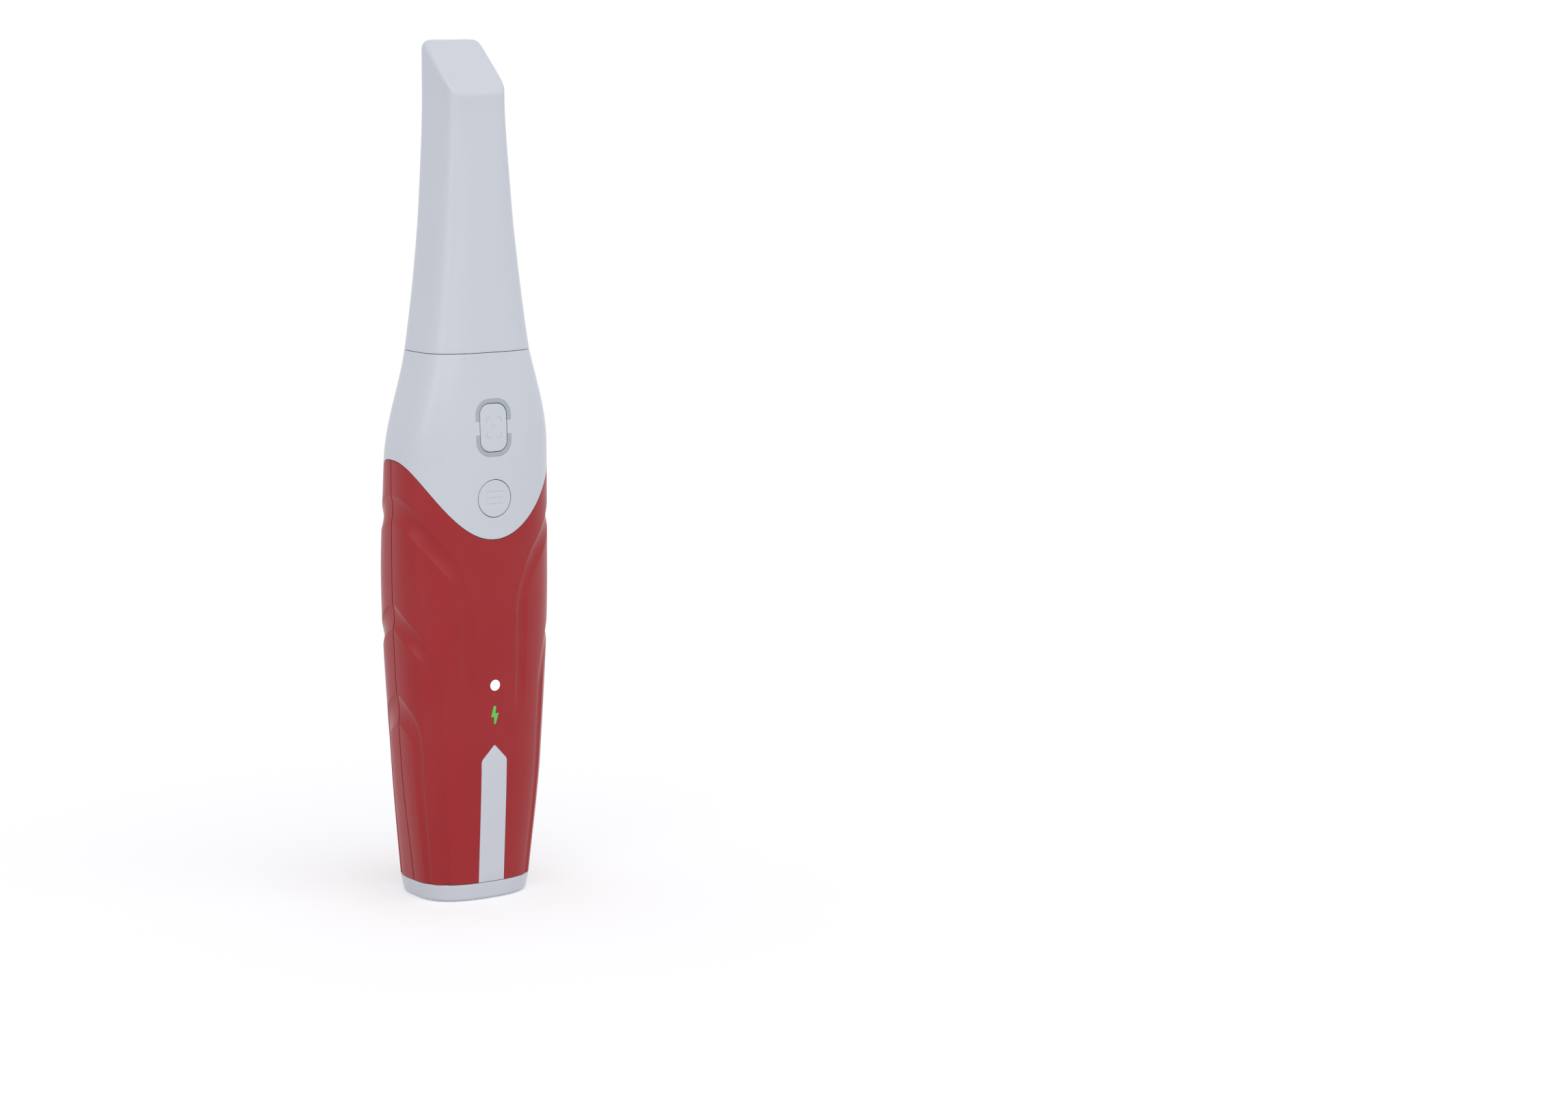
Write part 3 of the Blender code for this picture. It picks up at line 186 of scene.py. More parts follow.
def scallop_place(scallop, down, across):
    """Place across a scoop, 0 at its outer crease and 1 at its inner one, and its strength at the turn."""
    reach = 1 + scallop["round"]
    if down <= 0 or across <= 0:
        return 0.0, 1.0
    power = scallop["power"]
    back, aside = max(0.0, reach - down), max(0.0, reach - across)
    turn = 2 * back * aside / max(back * back + aside * aside, 1e-9)
    return reach - (back ** power + aside ** power) ** (1 / power), 1 - scallop["turn_fade"] * turn


def scallop_at(side_height, angle):
    """Place across the scoop that a spot on the grip is in, and the scoop's strength there."""
    found = (0.0, 0.0)
    for scallop in SCALLOPS:
        down = (Z_SEAM - scallop["drop"] - side_height) / scallop["height"]
        across = (scallop["turn"] - side_share(angle)) / (scallop["turn"] - scallop["inner_turn"])
        place, strength = scallop_place(scallop, down, across)
        if 0 < place < 1:
            if scallop is UPPER_SCALLOP:
                strength *= 1 - smooth((down * scallop["height"] - SCALLOP_RUN) / SCALLOP_FADE + 1)
            found = (place, strength)
    return found


# Mesh building

def quarter_shares(count):
    """Shares of a quarter turn, closer together at its two ends."""
    return [step / count - 0.86 * sin(2 * pi * step / count) / (2 * pi) for step in range(count + 1)]


def all_round(shares):
    """Angles all the way round from the shares of one quarter."""
    quarter = [share * pi / 2 for share in shares]
    half = quarter + [pi - angle for angle in reversed(quarter[:-1])]
    return half + [-angle for angle in reversed(half[1:-1])]


def evenly(start, end, count):
    """Evenly spaced values, both ends included."""
    return [start + (end - start) * step / count for step in range(count + 1)]


def edge_round(radius, steps=3):
    """(back, inset) pairs of a rounded edge, from the end face to the outer face."""
    turns = evenly(0, pi / 2, steps)
    return [(radius * (1 - sin(turn)), radius * (1 - cos(turn))) for turn in reversed(turns)]


def bridge(bm, first, second, closed=True):
    """Quads between two rows of vertices."""
    count = len(first)
    for index in range(count if closed else count - 1):
        after = (index + 1) % count
        bm.faces.new((first[index], first[after], second[after], second[index]))


def to_mesh(name, bm, recalculate=True):
    if recalculate:
        bmesh.ops.recalc_face_normals(bm, faces=bm.faces)
    mesh = bpy.data.meshes.new(name)
    bm.to_mesh(mesh)
    bm.free()
    return mesh


def skin(name, rings, start_pole=None, end_pole=None, endless=False):
    """Closed mesh over a row of rings; poles close its ends."""
    bm = bmesh.new()
    rows = [[bm.verts.new(point) for point in points] for points in rings]
    for first, second in zip(rows, rows[1:]):
        bridge(bm, first, second)
    if endless:
        bridge(bm, rows[-1], rows[0])
    for pole, row in ((start_pole, rows[0]), (end_pole, rows[-1])):
        if pole is not None:
            top = bm.verts.new(pole)
            for index, vert in enumerate(row):
                bm.faces.new((vert, row[(index + 1) % len(row)], top))
    return to_mesh(name, bm)


def new_object(name, mesh):
    piece = bpy.data.objects.new(name, mesh)
    bpy.context.scene.collection.objects.link(piece)
    return piece


def plain_mesh(piece):
    """The mesh an object shows with its modifiers, as a plain mesh; the object goes."""
    graph = bpy.context.evaluated_depsgraph_get()
    mesh = bpy.data.meshes.new_from_object(piece.evaluated_get(graph))
    mesh.name = piece.name
    bpy.data.objects.remove(piece, do_unlink=True)
    return mesh


WELD = 0.0003 * MM
IN_LINE = 0.0001 * MM


def between(point):
    """Whether a point has two edges that run on in one line."""
    if len(point.link_edges) != 2:
        return False
    ends = [edge.other_vert(point).co for edge in point.link_edges]
    nearest, _ = intersect_point_line(point.co, *ends)
    return (point.co - nearest).length < IN_LINE


def welded(mesh):
    """Join the points that a cut left all but touching, and drop those inside a straight edge."""
    bm = bmesh.new()
    bm.from_mesh(mesh)
    bmesh.ops.remove_doubles(bm, verts=bm.verts, dist=WELD)
    bmesh.ops.dissolve_degenerate(bm, edges=bm.edges, dist=WELD)
    for point in list(bm.verts):
        if between(point):
            bmesh.ops.dissolve_verts(bm, verts=[point])
    bm.to_mesh(mesh)
    bm.free()
    return mesh


def carve(mesh, cutters):
    """Cut meshes out of another, one after the other."""
    name = mesh.name
    for cutter in cutters:
        holder = new_object(name + "_blank", mesh)
        helper = new_object(cutter.name + "_cutter", cutter)
        modifier = holder.modifiers.new(cutter.name, "BOOLEAN")
        modifier.operation = "DIFFERENCE"
        modifier.solver = "EXACT"
        modifier.object = helper
        mesh = welded(plain_mesh(holder))
        bpy.data.objects.remove(helper, do_unlink=True)
    mesh.name = name
    return mesh


SHARP = radians(32)
INLAY_GAP = 0.06 * MM


def finish(name, mesh, material, body, slot, *nodes, sharp=SHARP):
    """Make a mesh a finished piece that stands for its solids and moves with a body."""
    mesh.shade_smooth()
    mesh.set_sharp_from_angle(angle=sharp)
    piece = new_object(name, mesh)
    mesh.materials.clear()
    mesh.materials.append(material)
    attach(piece, body)
    if nodes:
        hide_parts(*nodes)
    return piece


# Outlines seen from the front, and pieces that lie in the front skin

def rounded_rectangle(x, z, width, height, corner, steps=10):
    points = []
    for turn, (side, up) in enumerate(((1, 1), (-1, 1), (-1, -1), (1, -1))):
        centre_x = x + side * (width / 2 - corner)
        centre_z = z + up * (height / 2 - corner)
        for angle in evenly(turn * pi / 2, (turn + 1) * pi / 2, steps):
            points.append((centre_x + corner * cos(angle), centre_z + corner * sin(angle)))
    return points


def circle(x, z, diameter, sides=72):
    return [(x + diameter / 2 * cos(2 * pi * i / sides), z + diameter / 2 * sin(2 * pi * i / sides))
            for i in range(sides)]


def grown(outline, grow):
    """A closed outline moved outwards by a distance, mitred at its corners."""
    points = []
    count = len(outline)
    for index, (x, z) in enumerate(outline):
        ahead = Vector(outline[(index + 1) % count]) - Vector((x, z))
        behind = Vector((x, z)) - Vector(outline[index - 1])
        first = Vector((behind.y, -behind.x)).normalized()
        second = Vector((ahead.y, -ahead.x)).normalized()
        share = max(0.3, 1 + first.dot(second))
        out = (first + second) / share
        points.append((x + out.x * grow, z + out.y * grow))
    return points


def on_skin(outline, depth):
    return [Vector((x, front_face(x, z) + depth, z)) for x, z in outline]


def inlay(name, outline, depth, edge, dish=0.0, rings=8):
    """Cap flush with the front skin: a wall, a rounded edge and a face that may be dished."""
    centre = Vector((sum(x for x, z in outline), sum(z for x, z in outline))) / len(outline)
    rows = [on_skin(outline, depth)]
    for back, inset in edge_round(edge):
        rows.append(on_skin(grown(outline, -back), inset))
    rim = grown(outline, -edge)
    for share in evenly(1, 0, rings)[1:-1]:
        scaled = [(centre.x + (x - centre.x) * share, centre.y + (z - centre.y) * share) for x, z in rim]
        rows.append(on_skin(scaled, dish * (1 - share ** 2)))
    pole = on_skin([centre], dish)[0]
    bottom = Vector((centre.x, front_face(centre.x, centre.y) + depth, centre.y))
    return skin(name, rows, bottom, pole)


def opening(name, outline, depth, chamfer, reach=4.0 * MM):
    """Cutter for an opening in the front skin, flared at the skin."""
    rows = [on_skin(grown(outline, chamfer + reach / 4), -reach),
            on_skin(grown(outline, chamfer), 0.0),
            on_skin(outline, chamfer)]
    rows.append(on_skin(outline, depth))
    centre = Vector((sum(x for x, z in outline), sum(z for x, z in outline))) / len(outline)
    poles = [Vector((centre.x, front_face(centre.x, centre.y) + y, centre.y)) for y in (-reach, depth)]
    return skin(name, rows, poles[0], poles[1])


# Materials

def group_sockets(group, inputs, outputs):
    for name, kind, value in inputs:
        socket = group.interface.new_socket(name=name, in_out="INPUT", socket_type=kind)
        socket.default_value = value
    for name, kind in outputs:
        group.interface.new_socket(name=name, in_out="OUTPUT", socket_type=kind)


class Wiring:
    """Adds nodes to a tree and links them by name."""

    def __init__(self, tree):
        self.tree = tree

    def node(self, kind, settings=None, **inputs):
        made = self.tree.nodes.new(kind)
        for key, value in (settings or {}).items():
            setattr(made, key, value)
        for key, value in inputs.items():
            self.put(made.inputs[key.replace("_", " ")], value)
        return made

    def put(self, socket, value):
        if isinstance(value, bpy.types.NodeSocket):
            self.tree.links.new(value, socket)
        else:
            socket.default_value = value

    def maths(self, operation, *values, clamp=False):
        made = self.tree.nodes.new("ShaderNodeMath")
        made.operation = operation
        made.use_clamp = clamp
        for socket, value in zip(made.inputs, values):
            self.put(socket, value)
        return made.outputs[0]

    def blend(self, share, first, second):
        """Colour mix; the colours may be sockets or values."""
        made = self.tree.nodes.new("ShaderNodeMix")
        made.data_type = "RGBA"
        self.put(made.inputs["Factor"], share)
        self.put(made.inputs["A"], first)
        self.put(made.inputs["B"], second)
        return made.outputs["Result"]

    def spread(self, value, lowest, highest, start=0.0, end=1.0):
        made = self.node("ShaderNodeMapRange", Value=value)
        made.clamp = True
        for name, number in (("From Min", lowest), ("From Max", highest), ("To Min", start), ("To Max", end)):
            self.put(made.inputs[name], number)
        return made.outputs[0]

    def noise(self, place, scale, detail=3.0, roughness=0.5):
        made = self.node("ShaderNodeTexNoise", Vector=place, Scale=scale, Detail=detail)
        made.inputs["Roughness"].default_value = roughness
        return made.outputs["Fac"]


def new_group(name, inputs, outputs):
    group = bpy.data.node_groups.new(name, "ShaderNodeTree")
    group_sockets(group, inputs, outputs)
    wiring = Wiring(group)
    return group, wiring, wiring.node("NodeGroupInput"), wiring.node("NodeGroupOutput")


def moulded_surface():
    """Fine spark-eroded grain and slow swirls of a moulded plastic, with rubbed patches."""
    group, wire, given, result = new_group(
        "moulded_surface",
        [("Place", "NodeSocketVector", (0, 0, 0)), ("Grain Size", "NodeSocketFloat", 0.35),
         ("Colour", "NodeSocketColor", (0.6, 0.6, 0.6, 1)), ("Colour Drift", "NodeSocketFloat", 0.03),
         ("Roughness", "NodeSocketFloat", 0.4), ("Roughness Drift", "NodeSocketFloat", 0.05)],
        [("Colour", "NodeSocketColor"), ("Roughness", "NodeSocketFloat"), ("Height", "NodeSocketFloat")])
    place = given.outputs["Place"]
    fineness = wire.maths("DIVIDE", 1000.0, given.outputs["Grain Size"])
    grain = wire.noise(place, fineness, 2.0, 0.6)
    cloud = wire.noise(place, 38.0, 3.0, 0.55)
    rubbed = wire.noise(place, 120.0, 4.0, 0.62)
    lean = wire.maths("SUBTRACT", cloud, 0.5)
    drift = wire.maths("MULTIPLY", lean, given.outputs["Colour Drift"])
    shade = wire.node("ShaderNodeHueSaturation", Color=given.outputs["Colour"])
    wire.put(shade.inputs["Value"], wire.maths("ADD", 1.0, wire.maths("MULTIPLY", drift, 2.0)))
    wire.put(shade.inputs["Saturation"], wire.maths("SUBTRACT", 1.0, drift))
    wire.put(result.inputs["Colour"], shade.outputs["Color"])
    patch = wire.maths("MULTIPLY", wire.maths("SUBTRACT", rubbed, 0.5), given.outputs["Roughness Drift"])
    wire.put(result.inputs["Roughness"], wire.maths("ADD", given.outputs["Roughness"],
                                                    wire.maths("MULTIPLY", patch, 2.0), clamp=True))
    wire.put(result.inputs["Height"], grain)
    return group


def brushed_metal():
    """Fine lines along Z for turned or drawn metal, as a value from 0 to 1."""
    group, wire, given, result = new_group(
        "brushed_metal",
        [("Place", "NodeSocketVector", (0, 0, 0)), ("Line Width", "NodeSocketFloat", 0.08)],
        [("Lines", "NodeSocketFloat"), ("Tarnish", "NodeSocketFloat")])
    stretch = wire.node("ShaderNodeVectorMath", {"operation": "MULTIPLY"})
    wire.put(stretch.inputs[0], given.outputs["Place"])
    stretch.inputs[1].default_value = (1.0, 1.0, 0.04)
    fineness = wire.maths("DIVIDE", 1000.0, given.outputs["Line Width"])
    wire.put(result.inputs["Lines"], wire.noise(stretch.outputs[0], fineness, 3.0, 0.6))
    wire.put(result.inputs["Tarnish"], wire.noise(given.outputs["Place"], 140.0, 4.0, 0.6))
    return group


GROUPS = {"moulded": moulded_surface(), "metal": brushed_metal()}


def start_material(name):
    material = bpy.data.materials.new(name)
    material.use_nodes = True
    tree = material.node_tree
    wire = Wiring(tree)
    shader = tree.nodes["Principled BSDF"]
    place = wire.node("ShaderNodeTexCoord").outputs["Object"]
    return material, wire, shader, place


def place_group(wire, kind, place, **values):
    made = wire.tree.nodes.new("ShaderNodeGroup")
    made.node_tree = GROUPS[kind]
    wire.put(made.inputs["Place"], place)
    for key, value in values.items():
        wire.put(made.inputs[key.replace("_", " ")], value)
    return made


def bump(wire, shader, height, strength, distance):
    made = wire.node("ShaderNodeBump", Strength=strength, Distance=distance, Height=height)
    wire.put(shader.inputs["Normal"], made.outputs["Normal"])


def plastic(name, colour, roughness, grain=0.35, drift=0.03, depth=0.004, strength=0.15, coat=0.0, shine=0.5,
            sheen=0.0):
    """Moulded plastic with grain; the coat gives a gloss over it."""
    material, wire, shader, place = start_material(name)
    base = (*colour, 1.0)
    surface = place_group(wire, "moulded", place, Grain_Size=grain, Colour=base, Colour_Drift=drift,
                          Roughness=roughness, Roughness_Drift=0.06)
    wire.put(shader.inputs["Base Color"], surface.outputs["Colour"])
    wire.put(shader.inputs["Roughness"], surface.outputs["Roughness"])
    shader.inputs["Specular IOR Level"].default_value = shine
    shader.inputs["Coat Weight"].default_value = coat
    shader.inputs["Coat Roughness"].default_value = 0.12
    shader.inputs["Sheen Weight"].default_value = sheen
    shader.inputs["Sheen Roughness"].default_value = 0.3
    bump(wire, shader, surface.outputs["Height"], strength, depth * MM)
    return material


def metal(name, colour, roughness, line=0.08, tarnish=0.12):
    """Bare metal with fine lines and a little tarnish."""
    material, wire, shader, place = start_material(name)
    lines = place_group(wire, "metal", place, Line_Width=line)
    dark = tuple(value * (1 - tarnish) for value in colour)
    share = wire.spread(lines.outputs["Tarnish"], 0.4, 0.75)
    wire.put(shader.inputs["Base Color"], wire.blend(share, (*colour, 1), (*dark, 1)))
    wire.put(shader.inputs["Roughness"], wire.spread(lines.outputs["Lines"], 0.3, 0.7,
                                                     roughness - 0.06, roughness + 0.08))
    shader.inputs["Metallic"].default_value = 1.0
    bump(wire, shader, lines.outputs["Lines"], 0.12, 0.004 * MM)
    return material


def glass(name, colour, roughness):
    """Coated glass with faint wiping marks."""
    material, wire, shader, place = start_material(name)
    marks = wire.noise(place, 260.0, 4.0, 0.6)
    shader.inputs["Transmission Weight"].default_value = 1.0
    wire.put(shader.inputs["Roughness"], wire.spread(marks, 0.45, 0.8, roughness, roughness + 0.04))
    tint = wire.blend(wire.spread(marks, 0.3, 0.7), (*colour, 1), tuple(v * 0.96 for v in colour) + (1,))
    wire.put(shader.inputs["Base Color"], tint)
    shader.inputs["IOR"].default_value = 1.5
    return material


def light_guide(name, colour, glow):
    """Translucent light guide that glows a little, brightest in its middle grain."""
    material, wire, shader, place = start_material(name)
    surface = place_group(wire, "moulded", place, Grain_Size=0.3, Colour=(*colour, 1.0), Colour_Drift=0.02,
                          Roughness=0.28, Roughness_Drift=0.05)
    wire.put(shader.inputs["Base Color"], surface.outputs["Colour"])
    wire.put(shader.inputs["Roughness"], surface.outputs["Roughness"])
    wire.put(shader.inputs["Emission Color"], surface.outputs["Colour"])
    shader.inputs["Emission Strength"].default_value = glow
    bump(wire, shader, surface.outputs["Height"], 0.1, 0.003 * MM)
    return material


def circuit_board(name, mask, track):
    """Solder mask with copper tracks showing through and plated holes."""
    material, wire, shader, place = start_material(name)
    flat = wire.node("ShaderNodeMapping", Vector=place)
    flat.inputs["Rotation"].default_value = (radians(90), 0, 0)
    runs = wire.node("ShaderNodeTexBrick", Vector=flat.outputs[0], Scale=420.0)
    runs.inputs["Mortar Size"].default_value = 0.035
    runs.inputs["Brick Width"].default_value = 1.7
    runs.inputs["Row Height"].default_value = 0.6
    holes = wire.node("ShaderNodeTexVoronoi", Vector=place, Scale=460.0)
    hole = wire.spread(holes.outputs["Distance"], 0.10, 0.14, 1.0, 0.0)
    tone = wire.noise(place, 300.0, 2.0)
    green = wire.blend(wire.spread(tone, 0.3, 0.7), (*mask, 1), tuple(v * 0.8 for v in mask) + (1,))
    mix = wire.blend(runs.outputs["Fac"], green, (*track, 1))
    colour = wire.blend(hole, mix, (0.55, 0.42, 0.16, 1))
    wire.put(shader.inputs["Base Color"], colour)
    wire.put(shader.inputs["Metallic"], hole)
    wire.put(shader.inputs["Roughness"], wire.spread(tone, 0.3, 0.7, 0.28, 0.42))
    bump(wire, shader, runs.outputs["Fac"], 0.3, 0.03 * MM)
    return material


# Sizes and colours a user would change

def length_property(name, description, value):
    return bpy.props.FloatProperty(name=name, description=description, default=value, min=0.0,
                                   subtype="DISTANCE", unit="LENGTH", precision=5)


def colour_property(name, description, value):
    return bpy.props.FloatVectorProperty(name=name, description=description, default=value, size=3,
                                         min=0.0, max=1.0, subtype="COLOR")


class ScannerSizes(bpy.types.PropertyGroup):
    seam_edge: length_property("Seam edge", "Rounding of the mouldings along their seams", 0.07 * MM)
    scallop_depth: length_property("Scallop depth", "Depth of the scoops in the grip", 0.52 * MM)
    button_edge: length_property("Button edge", "Rounding of the buttons' edges", 0.13 * MM)
    icon_depth: length_property("Symbol depth", "Depth of the symbols in the buttons", 0.10 * MM)
    head_edge: length_property("Head edge", "Rounding of the slanted head at the front", 1.05 * MM)
    crown_edge: length_property("Crown edge", "Rounding of the crown at the rear", 2.6 * MM)


class ScannerColours(bpy.types.PropertyGroup):
    grey: colour_property("Grey moulding", "Nose, tip, strip, buttons and base", (0.597, 0.620, 0.678))
    red: colour_property("Red moulding", "Grip shells", (0.335, 0.012, 0.016))
    band: colour_property("Band", "Broken band round the scan button", (0.40, 0.43, 0.47))
    bolt: colour_property("Charge light", "Lightning bolt on the grip", (0.14, 0.5, 0.085))
    black: colour_property("Inner moulding", "Barrel, lens tube and battery case", (0.022, 0.022, 0.025))
    sleeve: colour_property("Battery sleeve", "Shrink sleeve of the battery cell", (0.02, 0.075, 0.22))


class StudioSettings(bpy.types.PropertyGroup):
    floor: colour_property("Floor", "Colour of the studio floor", (0.77, 0.77, 0.78))
    key_power: bpy.props.FloatProperty(name="Key light", description="Strength of the soft front lamp",
                                       default=0.88, min=0.0)
    side_power: bpy.props.FloatProperty(name="Side light", description="Strength of the soft left lamp",
                                        default=0.30, min=0.0)
    room_light: bpy.props.FloatProperty(name="Room light", description="Strength of the even light all round",
                                        default=0.74, min=0.0)
    floor_lift: bpy.props.FloatProperty(name="Floor lift", description="How much the floor is lifted to white",
                                        default=0.30, min=0.0, max=1.0)


def sizes():
    return bpy.context.scene.scanner_sizes


def colours():
    return bpy.context.scene.scanner_colours


MADE = {}


def material(kind):
    """Each finish, made the first time it is asked for."""
    if kind not in MADE:
        tints = colours()
        makers = {
            "grey": lambda: plastic("grey_plastic", tints.grey, 0.28, 0.30, 0.02, 0.003, 0.06),
            "red": lambda: plastic("red_plastic", tints.red, 0.34, 0.26, 0.05, 0.010, 0.30, shine=0.36,
                                   sheen=0.12),
            "band": lambda: plastic("band_plastic", tints.band, 0.42, 0.30, 0.02, 0.004, 0.12),
            "black": lambda: plastic("black_plastic", tints.black, 0.48, 0.40, 0.20, 0.012, 0.30),
            "rubber": lambda: plastic("seal_rubber", (0.018, 0.018, 0.019), 0.72, 0.25, 0.25, 0.010, 0.35),
            "sleeve": lambda: plastic("cell_wrap", tints.sleeve, 0.24, 0.80, 0.12, 0.020, 0.15, coat=0.4),
            "steel": lambda: metal("steel", (0.56, 0.57, 0.59), 0.34),
            "aluminium": lambda: metal("aluminium", (0.66, 0.67, 0.69), 0.46, 0.2, 0.08),
            "gold": lambda: metal("gold", (0.83, 0.58, 0.20), 0.24, 0.06, 0.10),
            "mirror": lambda: metal("front_mirror", (0.90, 0.91, 0.92), 0.07, 0.5, 0.02),
            "glass": lambda: glass("optical_glass", (0.86, 0.93, 0.95), 0.02),
            "white": lambda: light_guide("white_light", (0.93, 0.93, 0.93), 0.30),
            "green": lambda: light_guide("green_light", tints.bolt, 0.05),
            "board": lambda: circuit_board("circuit_board", (0.012, 0.11, 0.045), (0.03, 0.20, 0.08)),
        }
        MADE[kind] = makers[kind]()
    return MADE[kind]


# Node trees

SCOOP_VALUES = ("scoop_place", "scoop_strength", "scoop_inward")


def new_tree(name, inputs):
    """Geometry node tree with its inputs, and the node that ends it."""
    tree = bpy.data.node_groups.new(name, "GeometryNodeTree")
    sockets = [("Geometry", "NodeSocketGeometry", None), *inputs, ("Material", "NodeSocketMaterial", None)]
    for title, kind, value in sockets:
        made = tree.interface.new_socket(name=title, in_out="INPUT", socket_type=kind)
        if value is not None:
            made.default_value = value
    tree.interface.new_socket(name="Geometry", in_out="OUTPUT", socket_type="NodeSocketGeometry")
    wire = Wiring(tree)
    return tree, wire, wire.node("NodeGroupInput")


def end_tree(wire, given, geometry):
    """Realize the instances, paint them and hand them out."""
    solid = wire.node("GeometryNodeRealizeInstances", Geometry=geometry)
    painted = wire.node("GeometryNodeSetMaterial", Geometry=solid.outputs[0], Material=given.outputs["Material"])
    wire.node("NodeGroupOutput", Geometry=painted.outputs[0])


def scoop_tree():
    """Geometry nodes: sinks the scoops into a shell, 4 p (1 - p) deep at a share p of the way across."""
    tree, wire, given = new_tree("sunk_scoops", [("Depth", "NodeSocketFloat", 0.5 * MM),
                                                 ("Lean", "NodeSocketFloat", 1.0)])
    place, strength, inward = (
        wire.node("GeometryNodeInputNamedAttribute", {"data_type": kind}, Name=key).outputs[0]
        for key, kind in zip(SCOOP_VALUES, ("FLOAT", "FLOAT", "FLOAT_VECTOR")))
    across = wire.maths("POWER", place, given.outputs["Lean"])
    hollow = wire.maths("MULTIPLY", wire.maths("MULTIPLY", across, 4.0), wire.maths("SUBTRACT", 1.0, across))
    depth = wire.maths("MULTIPLY", wire.maths("MULTIPLY", hollow, strength), given.outputs["Depth"])
    shift = wire.node("ShaderNodeVectorMath", {"operation": "SCALE"}, Scale=depth)
    wire.put(shift.inputs[0], inward)
    sunk = wire.node("GeometryNodeSetPosition", Geometry=given.outputs["Geometry"], Offset=shift.outputs[0])
    end_tree(wire, given, sunk.outputs[0])
    return tree


def run_tree(name, mesh, tree, values):
    """Mesh that a node tree makes from another mesh, its inputs set by identifier."""
    holder = new_object(name, mesh)
    modifier = holder.modifiers.new(tree.name, "NODES")
    modifier.node_group = tree
    for item in tree.interface.items_tree:
        if item.item_type == "SOCKET" and item.in_out == "INPUT" and item.name in values:
            modifier[item.identifier] = values[item.name]
    return plain_mesh(holder)


# Grip shells

GRIP_ROW = 0.9 * MM
SCOOP_ROW = 0.3 * MM
GRIP_COLUMN = 1 / 60
SCOOP_COLUMN = 1 / 150
INNER_COLUMN = 1 / 24
FIRST_SHARE = 0.0075


def filled(marks, finest, coarse, in_scoop):
    """Values between the marks, closer together inside the scoops."""
    marks = sorted(marks)
    values = []
    for start, end in zip(marks, marks[1:]):
        step = finest if in_scoop((start + end) / 2) else coarse
        values += evenly(start, end, max(1, round((end - start) / step)))[:-1]
    return values + [marks[-1]]


def grip_shares():
    """Shares from the parting line to the middle, with a column on each crease."""
    margin = 2 * SCOOP_COLUMN
    spans = [(scoop["inner_turn"] - margin, scoop["turn"] + margin) for scoop in SCALLOPS]
    marks = {FIRST_SHARE, 1.0} | {scoop[key] for scoop in SCALLOPS for key in ("turn", "inner_turn")}
    marks |= {share for span in spans for share in span}
    return filled(marks, SCOOP_COLUMN, GRIP_COLUMN,
                  lambda share: any(start < share < end for start, end in spans))


def grip_heights():
    """Heights of the rows at the side, with a row on each crease."""
    margin = 2 * SCOOP_ROW
    creases = [(Z_SEAM - scoop["drop"] - scoop["height"], Z_SEAM - scoop["drop"]) for scoop in SCALLOPS]
    spans = [(foot - (1 + scoop["round"]) * 0.3 * scoop["height"] - margin, top + margin)
             for scoop, (foot, top) in zip(SCALLOPS, creases)]
    marks = {BASE_HEIGHT, Z_SEAM} | {height for pair in creases + spans for height in pair}
    return filled(marks, SCOOP_ROW, GRIP_ROW, lambda height: any(foot < height < top for foot, top in spans))


def shell_row(side_height, lift, inset, side, edge, shares):
    """One level of a half shell: its outer face from seam to seam, then its inner face back.

    Each spot is its point, its place in a scoop, the scoop's strength and the way in."""
    gap = GAP / 2

    def outer(share, seam_back=None, seam_inset=0.0):
        angle = -side * share * pi / 2
        height = row_height(side_height, angle) + lift
        point = skin_point(angle, height, inset + seam_inset)
        inward = (skin_point(angle, height, inset + seam_inset + MM) - point) / MM
        if seam_back is not None:
            point.y = -side * (gap + seam_back)
            inward.y = 0.0
        return (point, *scallop_at(side_height, angle), inward)

    mirror = Vector((-1, 1, 1))
    half = [outer(0.0, back, rounding) for back, rounding in edge_round(edge)]
    half += [outer(share) for share in shares]
    other = [(point * mirror, place, strength, inward * mirror)
             for point, place, strength, inward in reversed(half[:-1])]
    inner = [skin_point(-side * share * pi / 2, row_height(side_height, share * pi / 2) + lift, SHELL_WALL)
             for share in evenly(0.0, 1.0, round(1 / INNER_COLUMN))]
    inner[0].y = -side * gap
    back = [point * mirror for point in inner] + list(reversed(inner[:-1]))
    return half + other + [(point, 0.0, 0.0, Vector()) for point in back]


def zip_rows(bm, first, second):
    """Triangles between two rows of vertices with different counts."""
    here, there = 0, 0
    while here < len(first) - 1 or there < len(second) - 1:
        ahead = (here + 1) / (len(first) - 1)
        after = (there + 1) / (len(second) - 1)
        if ahead <= after:
            bm.faces.new((first[here], first[here + 1], second[there]))
            here += 1
        else:
            bm.faces.new((first[here], second[there + 1], second[there]))
            there += 1


